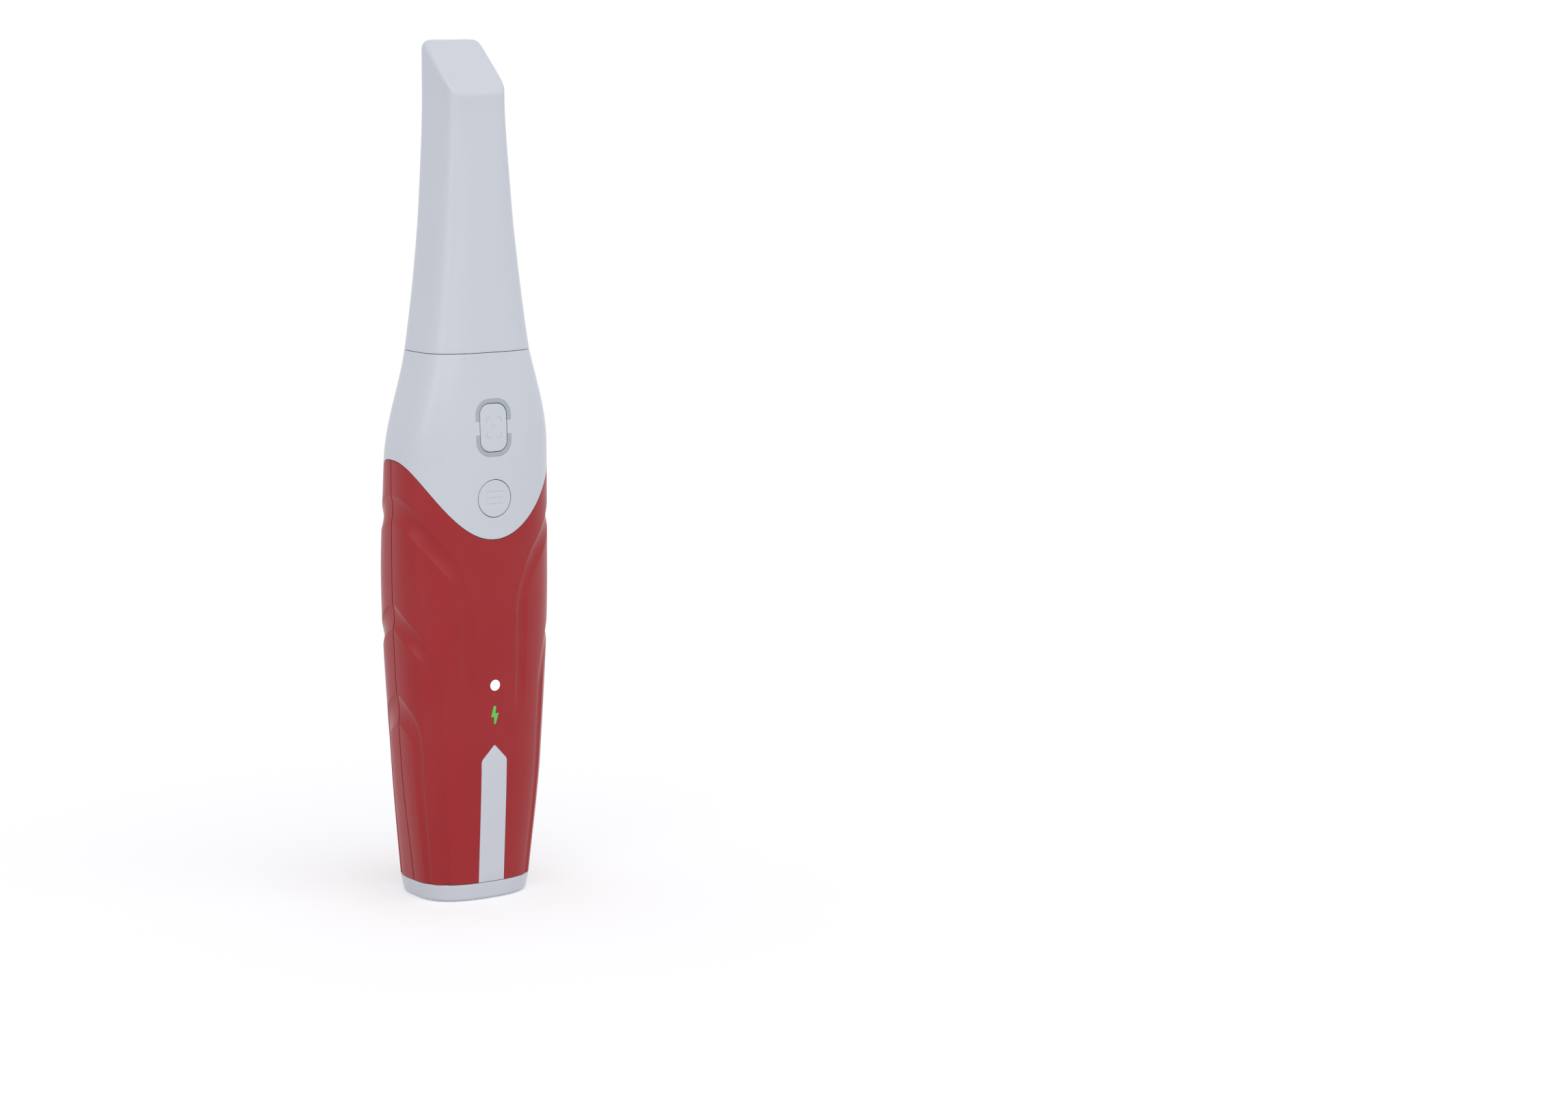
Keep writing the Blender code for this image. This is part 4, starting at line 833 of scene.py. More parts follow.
def shell_mesh(name, side):
    """Half of the grip: 1 is the front, -1 the rear."""
    edge = sizes().seam_edge
    shares = grip_shares()
    rows = [(BASE_HEIGHT, back, inset) for back, inset in edge_round(edge)]
    rows += [(height, 0.0, 0.0) for height in grip_heights()[1:-1]]
    rows += [(Z_SEAM, -back, inset) for back, inset in reversed(edge_round(edge))]
    bm = bmesh.new()
    layers = bm.verts.layers
    place_layer, strength_layer = (layers.float.new(key) for key in SCOOP_VALUES[:2])
    inward_layer = layers.float_vector.new(SCOOP_VALUES[2])
    levels = []
    for height, lift, inset in rows:
        level = []
        for point, place, strength, inward in shell_row(height, lift, inset, side, edge, shares):
            spot = bm.verts.new(point)
            spot[place_layer], spot[strength_layer], spot[inward_layer] = place, strength, inward
            level.append(spot)
        levels.append(level)
    for first, second in zip(levels, levels[1:]):
        bridge(bm, first, second)
    half = 2 * (len(edge_round(edge)) + len(shares)) - 1
    for level in (levels[0], levels[-1]):
        zip_rows(bm, level[:half], list(reversed(level[half:])))
    tree = bpy.data.node_groups.get("sunk_scoops") or scoop_tree()
    values = {"Depth": sizes().scallop_depth, "Lean": SCALLOP_LEAN, "Material": material("red")}
    shell = run_tree(name, to_mesh(name, bm), tree, values)
    for key in SCOOP_VALUES:
        shell.attributes.remove(shell.attributes[key])
    return shell


Z_BOLT = middle("charge_light").z
Z_STATUS = middle("status_light").z
STRIP_HALF = high("strip_inlay").x
STRIP_FOOT = BASE_HEIGHT
STRIP_TOP = high("strip_inlay").z
STRIP_SHOULDER = STRIP_TOP - 4.4 * MM
STRIP_PEAK_WIDTH = 0.8 * MM
STRIP_DEPTH = 0.9 * MM


def strip_outline():
    """House shape with small rounds at its shoulders and peak, counter-clockwise."""
    half = STRIP_HALF
    lean = Vector((-half, STRIP_TOP - STRIP_SHOULDER)).normalized()
    soft = 0.5 * MM
    peak = [(0.35 * MM, STRIP_TOP - 0.42 * MM), (0.16 * MM, STRIP_TOP - 0.27 * MM)]
    right = [(half, STRIP_SHOULDER - soft), (half - 0.07 * MM, STRIP_SHOULDER - 0.15 * MM),
             (half + lean.x * soft, STRIP_SHOULDER + lean.y * soft)]
    upright = [(half, z) for z in evenly(STRIP_FOOT, STRIP_SHOULDER - soft, 36)[:-1]]
    side = upright + right + peak
    foot = [(x, STRIP_FOOT) for x in evenly(-half, half, 12)[1:-1]]
    return side + [(0.0, STRIP_TOP - 0.23 * MM)] + [(-x, z) for x, z in reversed(side)] + foot


BOLT_SHAPE = ((0.35, 1.0), (-0.35, 1.0), (-1.0, -0.22), (-0.24, -0.22), (-0.22, -1.0), (0.22, -1.0),
              (1.0, 0.2), (0.14, 0.2))


def bolt_outline():
    """Charge symbol: two blunt slanted bars that meet in a step."""
    low_corner, high_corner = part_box("charge_light")
    half = (high_corner.z - low_corner.z) / 2
    return [(x * high_corner.x, Z_BOLT + z * half) for x, z in BOLT_SHAPE]


def status_outline():
    return circle(0, Z_STATUS, 2 * high("status_light").x, 48)


def make_grip():
    depth = STRIP_DEPTH + GAP
    front = shell_mesh("front_shell", 1)
    pocket = opening("strip_pocket", pocket_outline(), depth, 0.03 * MM)
    status = opening("status_hole", grown(status_outline(), INLAY_GAP), 6 * MM, 0.02 * MM)
    bolt = opening("bolt_hole", grown(bolt_outline(), INLAY_GAP), 6 * MM, 0.02 * MM)
    front = carve(front, [pocket, status, bolt])
    finish("front_grip_shell", front, material("red"), "handle", "red_plastic", "front_shell")
    rear = shell_mesh("rear_shell", -1)
    finish("rear_grip_shell", rear, material("red"), "handle", "red_plastic", "rear_shell")


def pocket_outline():
    """The strip's outline with room round it, run out below the grip's foot."""
    room = grown(strip_outline(), INLAY_GAP)
    foot = min(z for x, z in room)
    return [(x, z - 1.5 * MM if z < foot + 0.01 * MM else z) for x, z in room]


def make_lights():
    strip = inlay("strip", strip_outline(), STRIP_DEPTH, 0.10 * MM, rings=5)
    finish("strip_plate", strip, material("grey"), "handle", "grey_plastic", "strip_inlay")
    status = inlay("status", status_outline(), 2.6 * MM, 0.06 * MM, rings=6)
    finish("status_lens", status, material("white"), "handle", "white_light", "status_light")
    bolt = inlay("bolt", bolt_outline(), 2.6 * MM, 0.04 * MM, rings=4)
    finish("charge_lens", bolt, material("green"), "handle", "green_light", "charge_light")


# Nose housing, bands and buttons

Z_SCAN = middle("scan_button").z
Z_MODE = middle("mode_button").z
SCAN_WIDTH = 8.4 * MM
SCAN_LENGTH = 13.2 * MM
SCAN_CORNER = 3.0 * MM
BAND_WIDTH = 1.2 * MM
BAND_DEPTH = 0.8 * MM
BAND_BREAK = 3.9 * MM
MODE_DIAMETER = 10.3 * MM
TONGUE = 3.5 * MM
TONGUE_INSET = SHELL_WALL + GAP


def scan_outline(grow=0.0):
    return rounded_rectangle(0, Z_SCAN, SCAN_WIDTH + 2 * grow, SCAN_LENGTH + 2 * grow, SCAN_CORNER + grow)


def mode_outline(grow=0.0):
    return circle(0, Z_MODE, MODE_DIAMETER + 2 * grow)


def make_nose():
    edge = sizes().seam_edge
    angles = all_round(quarter_shares(56))
    rows = []

    def level(lift, share, inset):
        points = []
        for angle in angles:
            start = row_height(Z_SEAM, angle) + SEAM_GAP
            points.append(skin_point(angle, start + lift + (Z_NECK - start) * share, inset))
        rows.append(points)

    for back, inset in edge_round(edge):
        level(back, 0.0, inset)
    for share in evenly(0, 1, 96)[1:-1]:
        level(0.0, share, 0.0)
    for back, inset in reversed(edge_round(edge)):
        level(-back, 1.0, inset)
    for share in evenly(1, 0, 12)[:-1]:
        level(0.0, share, SHELL_WALL)
    level(TONGUE, 0.0, SHELL_WALL)
    level(TONGUE - 1.2 * MM, 0.0, TONGUE_INSET + 1.2 * MM)
    level(-TONGUE, 0.0, TONGUE_INSET + 1.2 * MM)
    level(-TONGUE, 0.0, TONGUE_INSET + 0.3 * MM)
    level(-TONGUE + 0.3 * MM, 0.0, TONGUE_INSET)
    level(0.0, 0.0, TONGUE_INSET)
    nose = skin("nose_housing", rows, endless=True)
    cutters = [opening("scan_hole", scan_outline(BUTTON_GAP), 4 * MM, 0.05 * MM),
               opening("mode_hole", mode_outline(BUTTON_GAP), 4 * MM, 0.05 * MM)]
    cutters += [band_pocket(side) for side in (1, -1)]
    nose = carve(nose, cutters)
    finish("nose_moulding", nose, material("grey"), "handle", "grey_plastic", "nose_housing")


def band_path(grow, end):
    """Half of the scan button's outline moved outwards, with points along its straight sides."""
    arch = [(x, z - Z_SCAN) for x, z in scan_outline(grow) if z > Z_SCAN]
    width = SCAN_WIDTH / 2 + grow
    straight = [(width, z) for z in evenly(end, arch[0][1], 6)[:-1]]
    return straight + arch + [(-x, z) for x, z in reversed(straight)]


def band_rows(side, inner, outer, end, depth, edge, above=0.0):
    """Cross-sections of a band that runs round half of the scan button."""
    start, stop = band_path(inner, end), band_path(outer, end)
    rows = []
    for (near_x, near_z), (far_x, far_z) in zip(start, stop):
        across = Vector((far_x - near_x, far_z - near_z))
        width = across.length
        section = [(0.0, depth)]
        section += [(back, inset - above) for back, inset in edge_round(edge)]
        section += [(width - back, inset - above) for back, inset in reversed(edge_round(edge))]
        section += [(width, depth)]
        row = []
        for along, down in section:
            x = near_x + across.x * along / width
            z = Z_SCAN + side * (near_z + across.y * along / width)
            row.append(Vector((x, front_face(x, z) + down, z)))
        rows.append(row)
    return rows


def capped(name, rows):
    """Tube over cross-sections, closed flat at both ends."""
    bm = bmesh.new()
    levels = [[bm.verts.new(point) for point in row] for row in rows]
    for first, second in zip(levels, levels[1:]):
        bridge(bm, first, second)
    bm.faces.new(levels[0])
    bm.faces.new(levels[-1])
    return to_mesh(name, bm)


def band_pocket(side):
    reach = INLAY_GAP / 2
    rows = band_rows(side, 0.05 * MM, BUTTON_GAP + BAND_WIDTH + reach, BAND_BREAK / 2 - reach,
                     BAND_DEPTH + GAP, 0.02 * MM, above=2 * MM)
    return capped("band_pocket", rows)


def make_bands():
    for name, side in (("upper_band", 1), ("lower_band", -1)):
        rows = band_rows(side, BUTTON_GAP + 0.02 * MM, BUTTON_GAP + BAND_WIDTH, BAND_BREAK / 2, BAND_DEPTH, 0.03 * MM)
        finish(name + "_trim", capped(name, rows), material("band"), "handle", "band_plastic", name)


def bar_cutter(name, start, end, width, depth):
    """Groove with round ends between two places on the front skin."""
    (start_x, start_z), (end_x, end_z) = start, end
    lean = atan2(end_z - start_z, end_x - start_x)
    points = []
    for centre_x, centre_z, turn in ((end_x, end_z, -pi / 2), (start_x, start_z, pi / 2)):
        for angle in evenly(lean + turn, lean + turn + pi, 8):
            points.append((centre_x + width / 2 * cos(angle), centre_z + width / 2 * sin(angle)))
    return opening(name, points, depth, 0.10 * MM, reach=1.0 * MM)


def elbow_cutter(name, corner, arm_x, arm_z, width, depth):
    """Groove along a rounded corner bracket."""
    radius = 0.55 * MM
    side_x, side_z = copysign(1, arm_x), copysign(1, arm_z)
    centre = (corner[0] + side_x * radius, corner[1] + side_z * radius)
    line = [(corner[0] + arm_x, corner[1])]
    for angle in evenly(0, pi / 2, 6):
        line.append((centre[0] - side_x * radius * sin(angle), centre[1] - side_z * radius * cos(angle)))
    line.append((corner[0], corner[1] + arm_z))
    sides = [[], []]
    for index, (x, z) in enumerate(line):
        before = line[max(0, index - 1)]
        after = line[min(len(line) - 1, index + 1)]
        along = Vector((after[0] - before[0], after[1] - before[1])).normalized()
        for bank, sign in zip(sides, (1, -1)):
            bank.append((x - along.y * sign * width / 2, z + along.x * sign * width / 2))
    outline = sides[0] + list(reversed(sides[1]))
    area = sum(a[0] * b[1] - b[0] * a[1] for a, b in zip(outline, outline[1:] + outline[:1]))
    if area < 0:
        outline.reverse()
    rows = [on_skin(outline, -1.0 * MM), on_skin(outline, depth)]
    return capped(name, rows)


def button_mesh(name, outline, dish):
    """Cap with a rounded edge and a flange behind the housing wall."""
    edge = sizes().button_edge
    shape = outline()
    centre = Vector((0.0, sum(z for x, z in shape) / len(shape)))
    wall = front_face(0, centre.y) + SHELL_WALL + 2 * GAP
    flange = outline(0.8 * MM)
    rows = [[Vector((x, wall + 0.8 * MM, z)) for x, z in flange],
            [Vector((x, wall, z)) for x, z in flange],
            [Vector((x, wall, z)) for x, z in shape]]
    for back, inset in edge_round(edge, 4):
        rows.append(on_skin(grown(shape, -back), inset))
    rim = grown(shape, -edge)
    for share in evenly(1, 0, 12)[1:-1]:
        scaled = [(x * share, centre.y + (z - centre.y) * share) for x, z in rim]
        rows.append(on_skin(scaled, dish * (1 - share ** 2)))
    pole = Vector((0, front_face(0, centre.y) + dish, centre.y))
    return skin(name, rows, Vector((0, wall + 0.8 * MM, centre.y)), pole)


def make_buttons():
    depth = sizes().icon_depth
    scan = button_mesh("scan_button", scan_outline, 0.0)
    arm = 1.25 * MM
    cutters = []
    for side_x in (1, -1):
        for side_z in (1, -1):
            corner = (side_x * 2.35 * MM, Z_SCAN + side_z * 2.75 * MM)
            cutters.append(elbow_cutter("bracket", corner, -side_x * arm, -side_z * arm, 0.5 * MM, depth))
    cutters.append(opening("lens_dot", circle(0, Z_SCAN, 1.5 * MM, 32), depth, 0.08 * MM, reach=1.0 * MM))
    scan = carve(scan, cutters)
    finish("scan_button_cap", scan, material("grey"), "scan_button", "grey_plastic", "scan_button")
    mode = button_mesh("mode_button", mode_outline, 0.0)
    bars = []
    for step in (-1, 0, 1):
        level = Z_MODE + step * 1.7 * MM
        bars.append(bar_cutter("mode_bar", (-2.2 * MM, level), (2.2 * MM, level), 0.6 * MM, depth))
    mode = carve(mode, bars)
    finish("mode_button_cap", mode, material("grey"), "mode_button", "grey_plastic", "mode_button")


# Tip

def slant_height(y, drop=0.0):
    """Height of the slanted face, or of a plane parallel to it below."""
    return Z_HEAD + (y + HEAD_FRONT) * tan(SLANT_ANGLE) - drop / cos(SLANT_ANGLE)


def head_top(y, drop, blend):
    """Height of the head's top: the slanted face rounded into the level crown."""
    slant = slant_height(y, drop)
    level = CROWN - drop
    return (slant + level - sqrt((slant - level) ** 2 + blend ** 2)) / 2


def tip_rows(shares, inset, drop, front_edge, rear_edge, foot, steps):
    """Rings from the sleeve's foot to its top face."""
    angles = all_round(shares)
    rows = []
    tops = []
    for angle in angles:
        wall = skin_point(angle, Z_HEAD, inset)
        turn = smooth((wall.y + HEAD_FRONT) / (HEAD_FRONT + REAR_DEPTHS[6]))
        edge = front_edge + (rear_edge - front_edge) * turn
        tops.append((wall, edge, head_top(wall.y, drop, 0.9 * MM) - edge))
    fixed = Z_HEAD - 14 * MM
    heights = evenly(foot, fixed, steps)
    for height in heights:
        rows.append([skin_point(angle, height, inset) for angle in angles])
    for share in evenly(0, 1, 16)[1:]:
        rows.append([skin_point(angle, fixed + (top - fixed) * share, inset)
                     for angle, (wall, edge, top) in zip(angles, tops)])
    for turn in evenly(0, pi / 2, 7)[1:]:
        row = []
        for wall, edge, top in tops:
            shift = edge * (1 - cos(turn))
            level = Vector((wall.x, wall.y, 0.0))
            inward = level * (1 - shift / level.length)
            full = head_top(inward.y, drop, 0.9 * MM)
            row.append(Vector((inward.x, inward.y, full - edge * (1 - sin(turn)))))
        rows.append(row)
    rim = [(point.x, point.y) for point in rows[-1]]
    for share in evenly(1, 0, 22)[1:-1]:
        rows.append([Vector((x * share, y * share, head_top(y * share, drop, 0.9 * MM))) for x, y in rim])
    return rows, Vector((0, 0, head_top(0.0, drop, 0.9 * MM)))


WINDOW_WIDTH = 12.6 * MM
WINDOW_HEIGHT = 15.0 * MM
WINDOW_CORNER = 2.0 * MM
WINDOW_MIDDLE = CROWN - 4.5 * MM - WINDOW_HEIGHT / 2


def window_cutter():
    """Cutter for the scanning window in the rear of the head, flared at the skin."""
    rear = REAR_DEPTHS[6]
    outline = rounded_rectangle(0, WINDOW_MIDDLE, WINDOW_WIDTH, WINDOW_HEIGHT, WINDOW_CORNER)
    rows = []
    for grow, y in ((0.0, rear - 2 * TIP_WALL), (0.0, rear - 0.45 * MM), (0.45 * MM, rear), (1.4 * MM, rear + 2 * MM)):
        rows.append([Vector((x, y, z)) for x, z in grown(outline, grow)])
    return skin("scan_window", rows, Vector((0, rear - 2 * TIP_WALL, WINDOW_MIDDLE)),
                Vector((0, rear + 2 * MM, WINDOW_MIDDLE)))


def make_tip():
    edge = sizes().seam_edge
    shares = quarter_shares(48)
    angles = all_round(shares)
    foot = Z_NECK + SEAM_GAP
    rows = [[skin_point(angle, foot + back, inset) for angle in angles] for back, inset in edge_round(edge)][:-1]
    outer, outer_pole = tip_rows(shares, 0.0, 0.0, sizes().head_edge, sizes().crown_edge, foot + edge, 60)
    sleeve = skin("tip_sleeve_outer", rows + outer, Vector((0, 0, foot)), outer_pole)
    inner, inner_pole = tip_rows(shares, TIP_WALL, TIP_WALL, 0.6 * MM, 1.0 * MM, foot + 0.4 * MM, 24)
    flare = [[skin_point(angle, foot - 1 * MM, TIP_WALL - 0.4 * MM) for angle in angles],
             [skin_point(angle, foot, TIP_WALL - 0.4 * MM) for angle in angles]]
    core = skin("tip_core", flare + inner, Vector((0, 0, foot - 1 * MM)), inner_pole)
    sleeve = carve(sleeve, [core, window_cutter()])
    finish("tip_sleeve_shell", sleeve, material("grey"), "tip", "grey_plastic", "tip_sleeve")


# Base cap and battery

CELL_AXIS = middle("battery_cell").y
CAP_FLOOR = 2.4 * MM
SPIGOT_TOP = high("base_cap").z
SCREW_ACROSS = middle("case_screw_right").x


def base_rows():
    """Rings of the base cap from the middle of its underside up and back inside."""
    angles = all_round(quarter_shares(48))
    taper = 0.4 * MM
    bottom = 1.2 * MM
    rim = 0.1 * MM
    inside = SHELL_WALL + GAP
    rings = [(0.25 * MM, 7.0 * MM), (0.25 * MM, 3.2 * MM), (0.0, 2.9 * MM)]
    for step in evenly(0, pi / 2, 6):
        rings.append((bottom * (1 - cos(step)), taper + bottom * (1 - sin(step))))
    top = BASE_HEIGHT - SEAM_GAP
    for share in evenly(0, 1, 5)[1:]:
        rings.append((bottom + (top - rim - bottom) * share, taper * (1 - share)))
    rings += [(top - rim * (1 - sin(step)), rim * (1 - cos(step))) for step in evenly(0, pi / 2, 3)[1:]]
    rings += [(top, inside), (SPIGOT_TOP - rim, inside), (SPIGOT_TOP, inside + rim),
              (SPIGOT_TOP, inside + 1.2 * MM), (CAP_FLOOR, inside + 1.2 * MM)]
    return [[skin_point(angle, z, inset) for angle in angles] for z, inset in rings]


def round_cutter(name, centre, radius, bottom, top, sides=32):
    rows = [[Vector((centre[0] + radius * cos(2 * pi * i / sides), centre[1] + radius * sin(2 * pi * i / sides), z))
             for i in range(sides)] for z in (bottom, top)]
    return skin(name, rows, Vector((*centre, bottom)), Vector((*centre, top)))


def turned(name, profile, sides=32, centre=(0.0, 0.0)):
    """Solid turned about an upright axis from (radius, height) points between its two poles."""
    rows = [[Vector((centre[0] + radius * cos(2 * pi * i / sides), centre[1] + radius * sin(2 * pi * i / sides), z))
             for i in range(sides)] for radius, z in profile[1:-1]]
    return skin(name, rows, Vector((*centre, profile[0][1])), Vector((*centre, profile[-1][1])))


def make_base():
    cap = skin("base_cap", base_rows(), Vector((0, 0, 0.25 * MM)), Vector((0, 0, CAP_FLOOR)))
    cutters = []
    for side in (1, -1):
        profile = [(0, -1 * MM), (2.0 * MM, -1 * MM), (2.0 * MM, 1.6 * MM), (1.3 * MM, 1.6 * MM),
                   (1.3 * MM, 4 * MM), (0, 4 * MM)]
        cutters.append(turned("screw_hole", profile, 32, (side * SCREW_ACROSS, CELL_AXIS)))
    cap = carve(cap, cutters)
    finish("base_cap_cup", cap, material("grey"), "battery_pack", "grey_plastic", "base_cap")


def case_section(height, inset, angles):
    half = high("battery_case").x - inset
    deep = high("battery_case").y - CELL_AXIS - inset
    points = []
    for angle in angles:
        x = copysign(abs(cos(angle)) ** (2 / 2.6), cos(angle)) * half
        y = copysign(abs(sin(angle)) ** (2 / 2.6), sin(angle)) * deep
        points.append(Vector((x, y + CELL_AXIS, height)))
    return points


def case_mesh(name, bottom, top, edge, rib_pitch):
    """Body of the battery case with shallow grip ribs and rounded ends."""
    angles = all_round(quarter_shares(24))
    rows = [case_section(bottom + back, inset, angles) for back, inset in edge_round(edge)]
    groove = 0.25 * MM
    if rib_pitch:
        start, end = bottom + 8 * MM, bottom + 30 * MM
        level = start
        while level < end:
            for along, inset in ((0.0, 0.0), (0.3, groove), (1.1, groove), (1.4, 0.0)):
                rows.append(case_section(level + along * MM, inset, angles))
            level += rib_pitch
    rows += [case_section(top - back, inset, angles) for back, inset in reversed(edge_round(edge))]
    return skin(name, rows, Vector((0, CELL_AXIS, bottom)), Vector((0, CELL_AXIS, top)))


def make_battery():
    base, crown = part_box("battery_case")
    case = case_mesh("battery_case", base.z, crown.z, 0.4 * MM, 2.8 * MM)
    bore = round_cutter("cell_bore", (0, CELL_AXIS), high("battery_cell").x + GAP, base.z + 2 * MM, crown.z + 1 * MM, 64)
    holes = [round_cutter("shank_hole", (side * SCREW_ACROSS, CELL_AXIS), 1.3 * MM, base.z - 1 * MM, 7.1 * MM)
             for side in (1, -1)]
    case = carve(case, [bore] + holes)
    finish("battery_case_body", case, material("black"), "battery_pack", "black_plastic", "battery_case")
    base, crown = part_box("battery_lid")
    lid = case_mesh("battery_lid", base.z, crown.z, 0.4 * MM, 0)
    finish("battery_case_lid", lid, material("black"), "battery_pack", "black_plastic", "battery_lid")
    base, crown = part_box("battery_cell")
    radius = crown.x
    profile = [(0, base.z), (radius - 1.6 * MM, base.z), (radius - 1.4 * MM, base.z + 0.3 * MM),
               (radius - 0.9 * MM, base.z + 0.3 * MM), (radius - 0.6 * MM, base.z), (radius - 0.25 * MM, base.z + 0.1 * MM),
               (radius, base.z + 0.6 * MM), (radius, crown.z - 5.2 * MM), (radius - 0.45 * MM, crown.z - 4.6 * MM),
               (radius - 0.45 * MM, crown.z - 4.2 * MM), (radius, crown.z - 3.6 * MM), (radius, crown.z - 1.5 * MM),
               (radius - 0.5 * MM, crown.z - 1.0 * MM), (3.4 * MM, crown.z - 1.0 * MM), (3.2 * MM, crown.z - 0.1 * MM),
               (3.0 * MM, crown.z), (0, crown.z)]
    cell = turned("battery_cell", profile, 64, (0, CELL_AXIS))
    finish("battery_cell_sleeve", cell, material("sleeve"), "battery_pack", "cell_wrap", "battery_cell")


# Rows of like pieces, repeated by one node tree

def row_tree():
    """Geometry nodes: the object's own mesh set at even places along a line."""
    tree, wire, given = new_tree("row_of_pieces", [("Count", "NodeSocketInt", 3), ("Pitch", "NodeSocketFloat", 6 * MM),
                                                   ("Start", "NodeSocketVector", None)])
    step = wire.node("ShaderNodeCombineXYZ", X=given.outputs["Pitch"])
    line = wire.node("GeometryNodeMeshLine", {"mode": "OFFSET"}, Count=given.outputs["Count"],
                     Start_Location=given.outputs["Start"], Offset=step.outputs[0])
    placed = wire.node("GeometryNodeInstanceOnPoints", Points=line.outputs[0], Instance=given.outputs["Geometry"])
    end_tree(wire, given, placed.outputs[0])
    return tree


def make_row(name, mesh, count, pitch, start, kind, body, slot, *nodes):
    values = {"Count": count, "Pitch": pitch, "Start": start, "Material": material(kind)}
    tree = bpy.data.node_groups.get("row_of_pieces") or row_tree()
    finish(name, run_tree(name, mesh, tree, values), material(kind), body, slot, *nodes)


def socket_screw():
    """Cap screw head down, with a six-sided socket in its head."""
    head, shank, rise, length = 1.7 * MM, 1.0 * MM, 1.0 * MM, 6.5 * MM
    profile = [(0, 0), (head - 0.2 * MM, 0), (head - 0.05 * MM, 0.06 * MM), (head, 0.2 * MM), (head, rise),
               (shank, rise)]
    level = rise + 0.4 * MM
    while level < length - 0.6 * MM:
        profile += [(shank, level), (shank - 0.16 * MM, level + 0.2 * MM)]
        level += 0.4 * MM
    profile += [(shank * 0.75, length), (0, length)]
    screw = turned("case_screw", profile, 32)
    return carve(screw, [round_cutter("socket", (0, 0), 0.85 * MM, -0.5 * MM, 0.6 * MM, 6)])


def contact_pad():
    size, thick = 1.5 * MM, 0.4 * MM
    outline = rounded_rectangle(0, 0, 2 * size, 2 * size, 0.4 * MM, 4)
    rows = [[Vector((x, y, 0)) for x, y in outline]]
    for back, inset in edge_round(0.1 * MM):
        rows.append([Vector((x, y, thick - inset)) for x, y in grown(outline, -back)])
    return skin("contact_pad", rows, Vector((0, 0, 0)), Vector((0, 0, thick)))


def spring_pin():
    length = high("spring_pin_1").z - low("spring_pin_1").z
    profile = [(0, 0), (0.25 * MM, 0.02 * MM), (0.42 * MM, 0.14 * MM), (0.45 * MM, 0.3 * MM), (0.45 * MM, 0.6 * MM),
               (0.66 * MM, 0.6 * MM), (0.7 * MM, 0.68 * MM), (0.7 * MM, length), (0, length)]
    return turned("spring_pin", profile, 24)


def make_small_metal():
    foot = low("case_screw_right").z
    make_row("case_screws", socket_screw(), 2, 2 * SCREW_ACROSS, (-SCREW_ACROSS, CELL_AXIS, foot), "steel",
             "battery_pack", "steel", "case_screw_left", "case_screw_right")
    first = middle("battery_contact_1")
    pitch = middle("battery_contact_2").x - first.x
    make_row("battery_contacts", contact_pad(), 3, pitch, (first.x, first.y, low("battery_contact_1").z), "gold",
             "battery_pack", "gold", "battery_contact_1", "battery_contact_2", "battery_contact_3")
    first = middle("spring_pin_1")
    make_row("spring_pins", spring_pin(), 3, pitch, (first.x, first.y, low("spring_pin_1").z), "gold",
             "handle", "gold", "spring_pin_1", "spring_pin_2", "spring_pin_3")


# Barrel that the tip slides over

def make_barrel():
    inset = SHELL_WALL + GAP
    angles = all_round(quarter_shares(40))
    base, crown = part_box("barrel")
    groove_low, groove_high = Z_NECK + 5 * MM, Z_NECK + 7.6 * MM
    core = inset + 2.2 * MM
    ledge = core - 1.0 * MM
    glass_foot = crown.z - 1.5 * MM
    edge = 0.3 * MM
    rings = [(base.z + back, inset + deep) for back, deep in edge_round(edge)]
    rings += [(z, inset) for z in evenly(base.z + edge, groove_low - 0.15 * MM, 6)[1:]]
    rings += [(groove_low, inset + 0.15 * MM), (groove_low, inset + 1 * MM), (groove_high, inset + 1 * MM),
              (groove_high, inset + 0.15 * MM), (groove_high + 0.15 * MM, inset)]
    rings += [(z, inset) for z in evenly(groove_high + 0.15 * MM, crown.z - edge, 30)[1:-1]]
    rings += [(crown.z - back, inset + deep) for back, deep in reversed(edge_round(edge))]
    rings += [(crown.z, ledge), (glass_foot, ledge)]
    rings += [(z, core) for z in evenly(glass_foot, base.z, 20)]
    rows = [[skin_point(angle, z, deep) for angle in angles] for z, deep in rings]
    finish("barrel_tube", skin("barrel", rows, endless=True), material("black"), "handle", "black_plastic", "barrel")
    low_corner, high_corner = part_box("barrel_window")
    edge = 0.15 * MM
    rows = [[skin_point(angle, low_corner.z + back, ledge + GAP + deep) for angle in angles]
            for back, deep in edge_round(edge)]
    rows += [[skin_point(angle, high_corner.z - back, ledge + GAP + deep) for angle in angles]
             for back, deep in reversed(edge_round(edge))]
    pane = skin("barrel_window", rows, Vector((0, 0, low_corner.z)), Vector((0, 0, high_corner.z)))
    finish("barrel_glass", pane, material("glass"), "handle", "optical_glass", "barrel_window")
    low_corner, high_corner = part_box("barrel_seal")
    outer, inner = inset - 0.2 * MM, inset + 0.7 * MM
    ridge = (high_corner.z - low_corner.z) / 2
    rings = []
    for lobe in (0, 1):
        for turn in evenly(0, pi, 8):
            bulge = 0.25 * MM * (1 - sin(turn))
            rings.append((low_corner.z + lobe * ridge + ridge * (1 - cos(turn)) / 2, outer + bulge))
    rings.append((high_corner.z, inner))
    rings.append((low_corner.z, inner))
    rings = [ring for index, ring in enumerate(rings) if index == 0 or ring != rings[index - 1]]
    rows = [[skin_point(angle, z, deep) for angle in angles] for z, deep in rings]
    finish("barrel_seal_ring", skin("barrel_seal", rows, endless=True), material("rubber"), "handle", "seal_rubber",
           "barrel_seal")


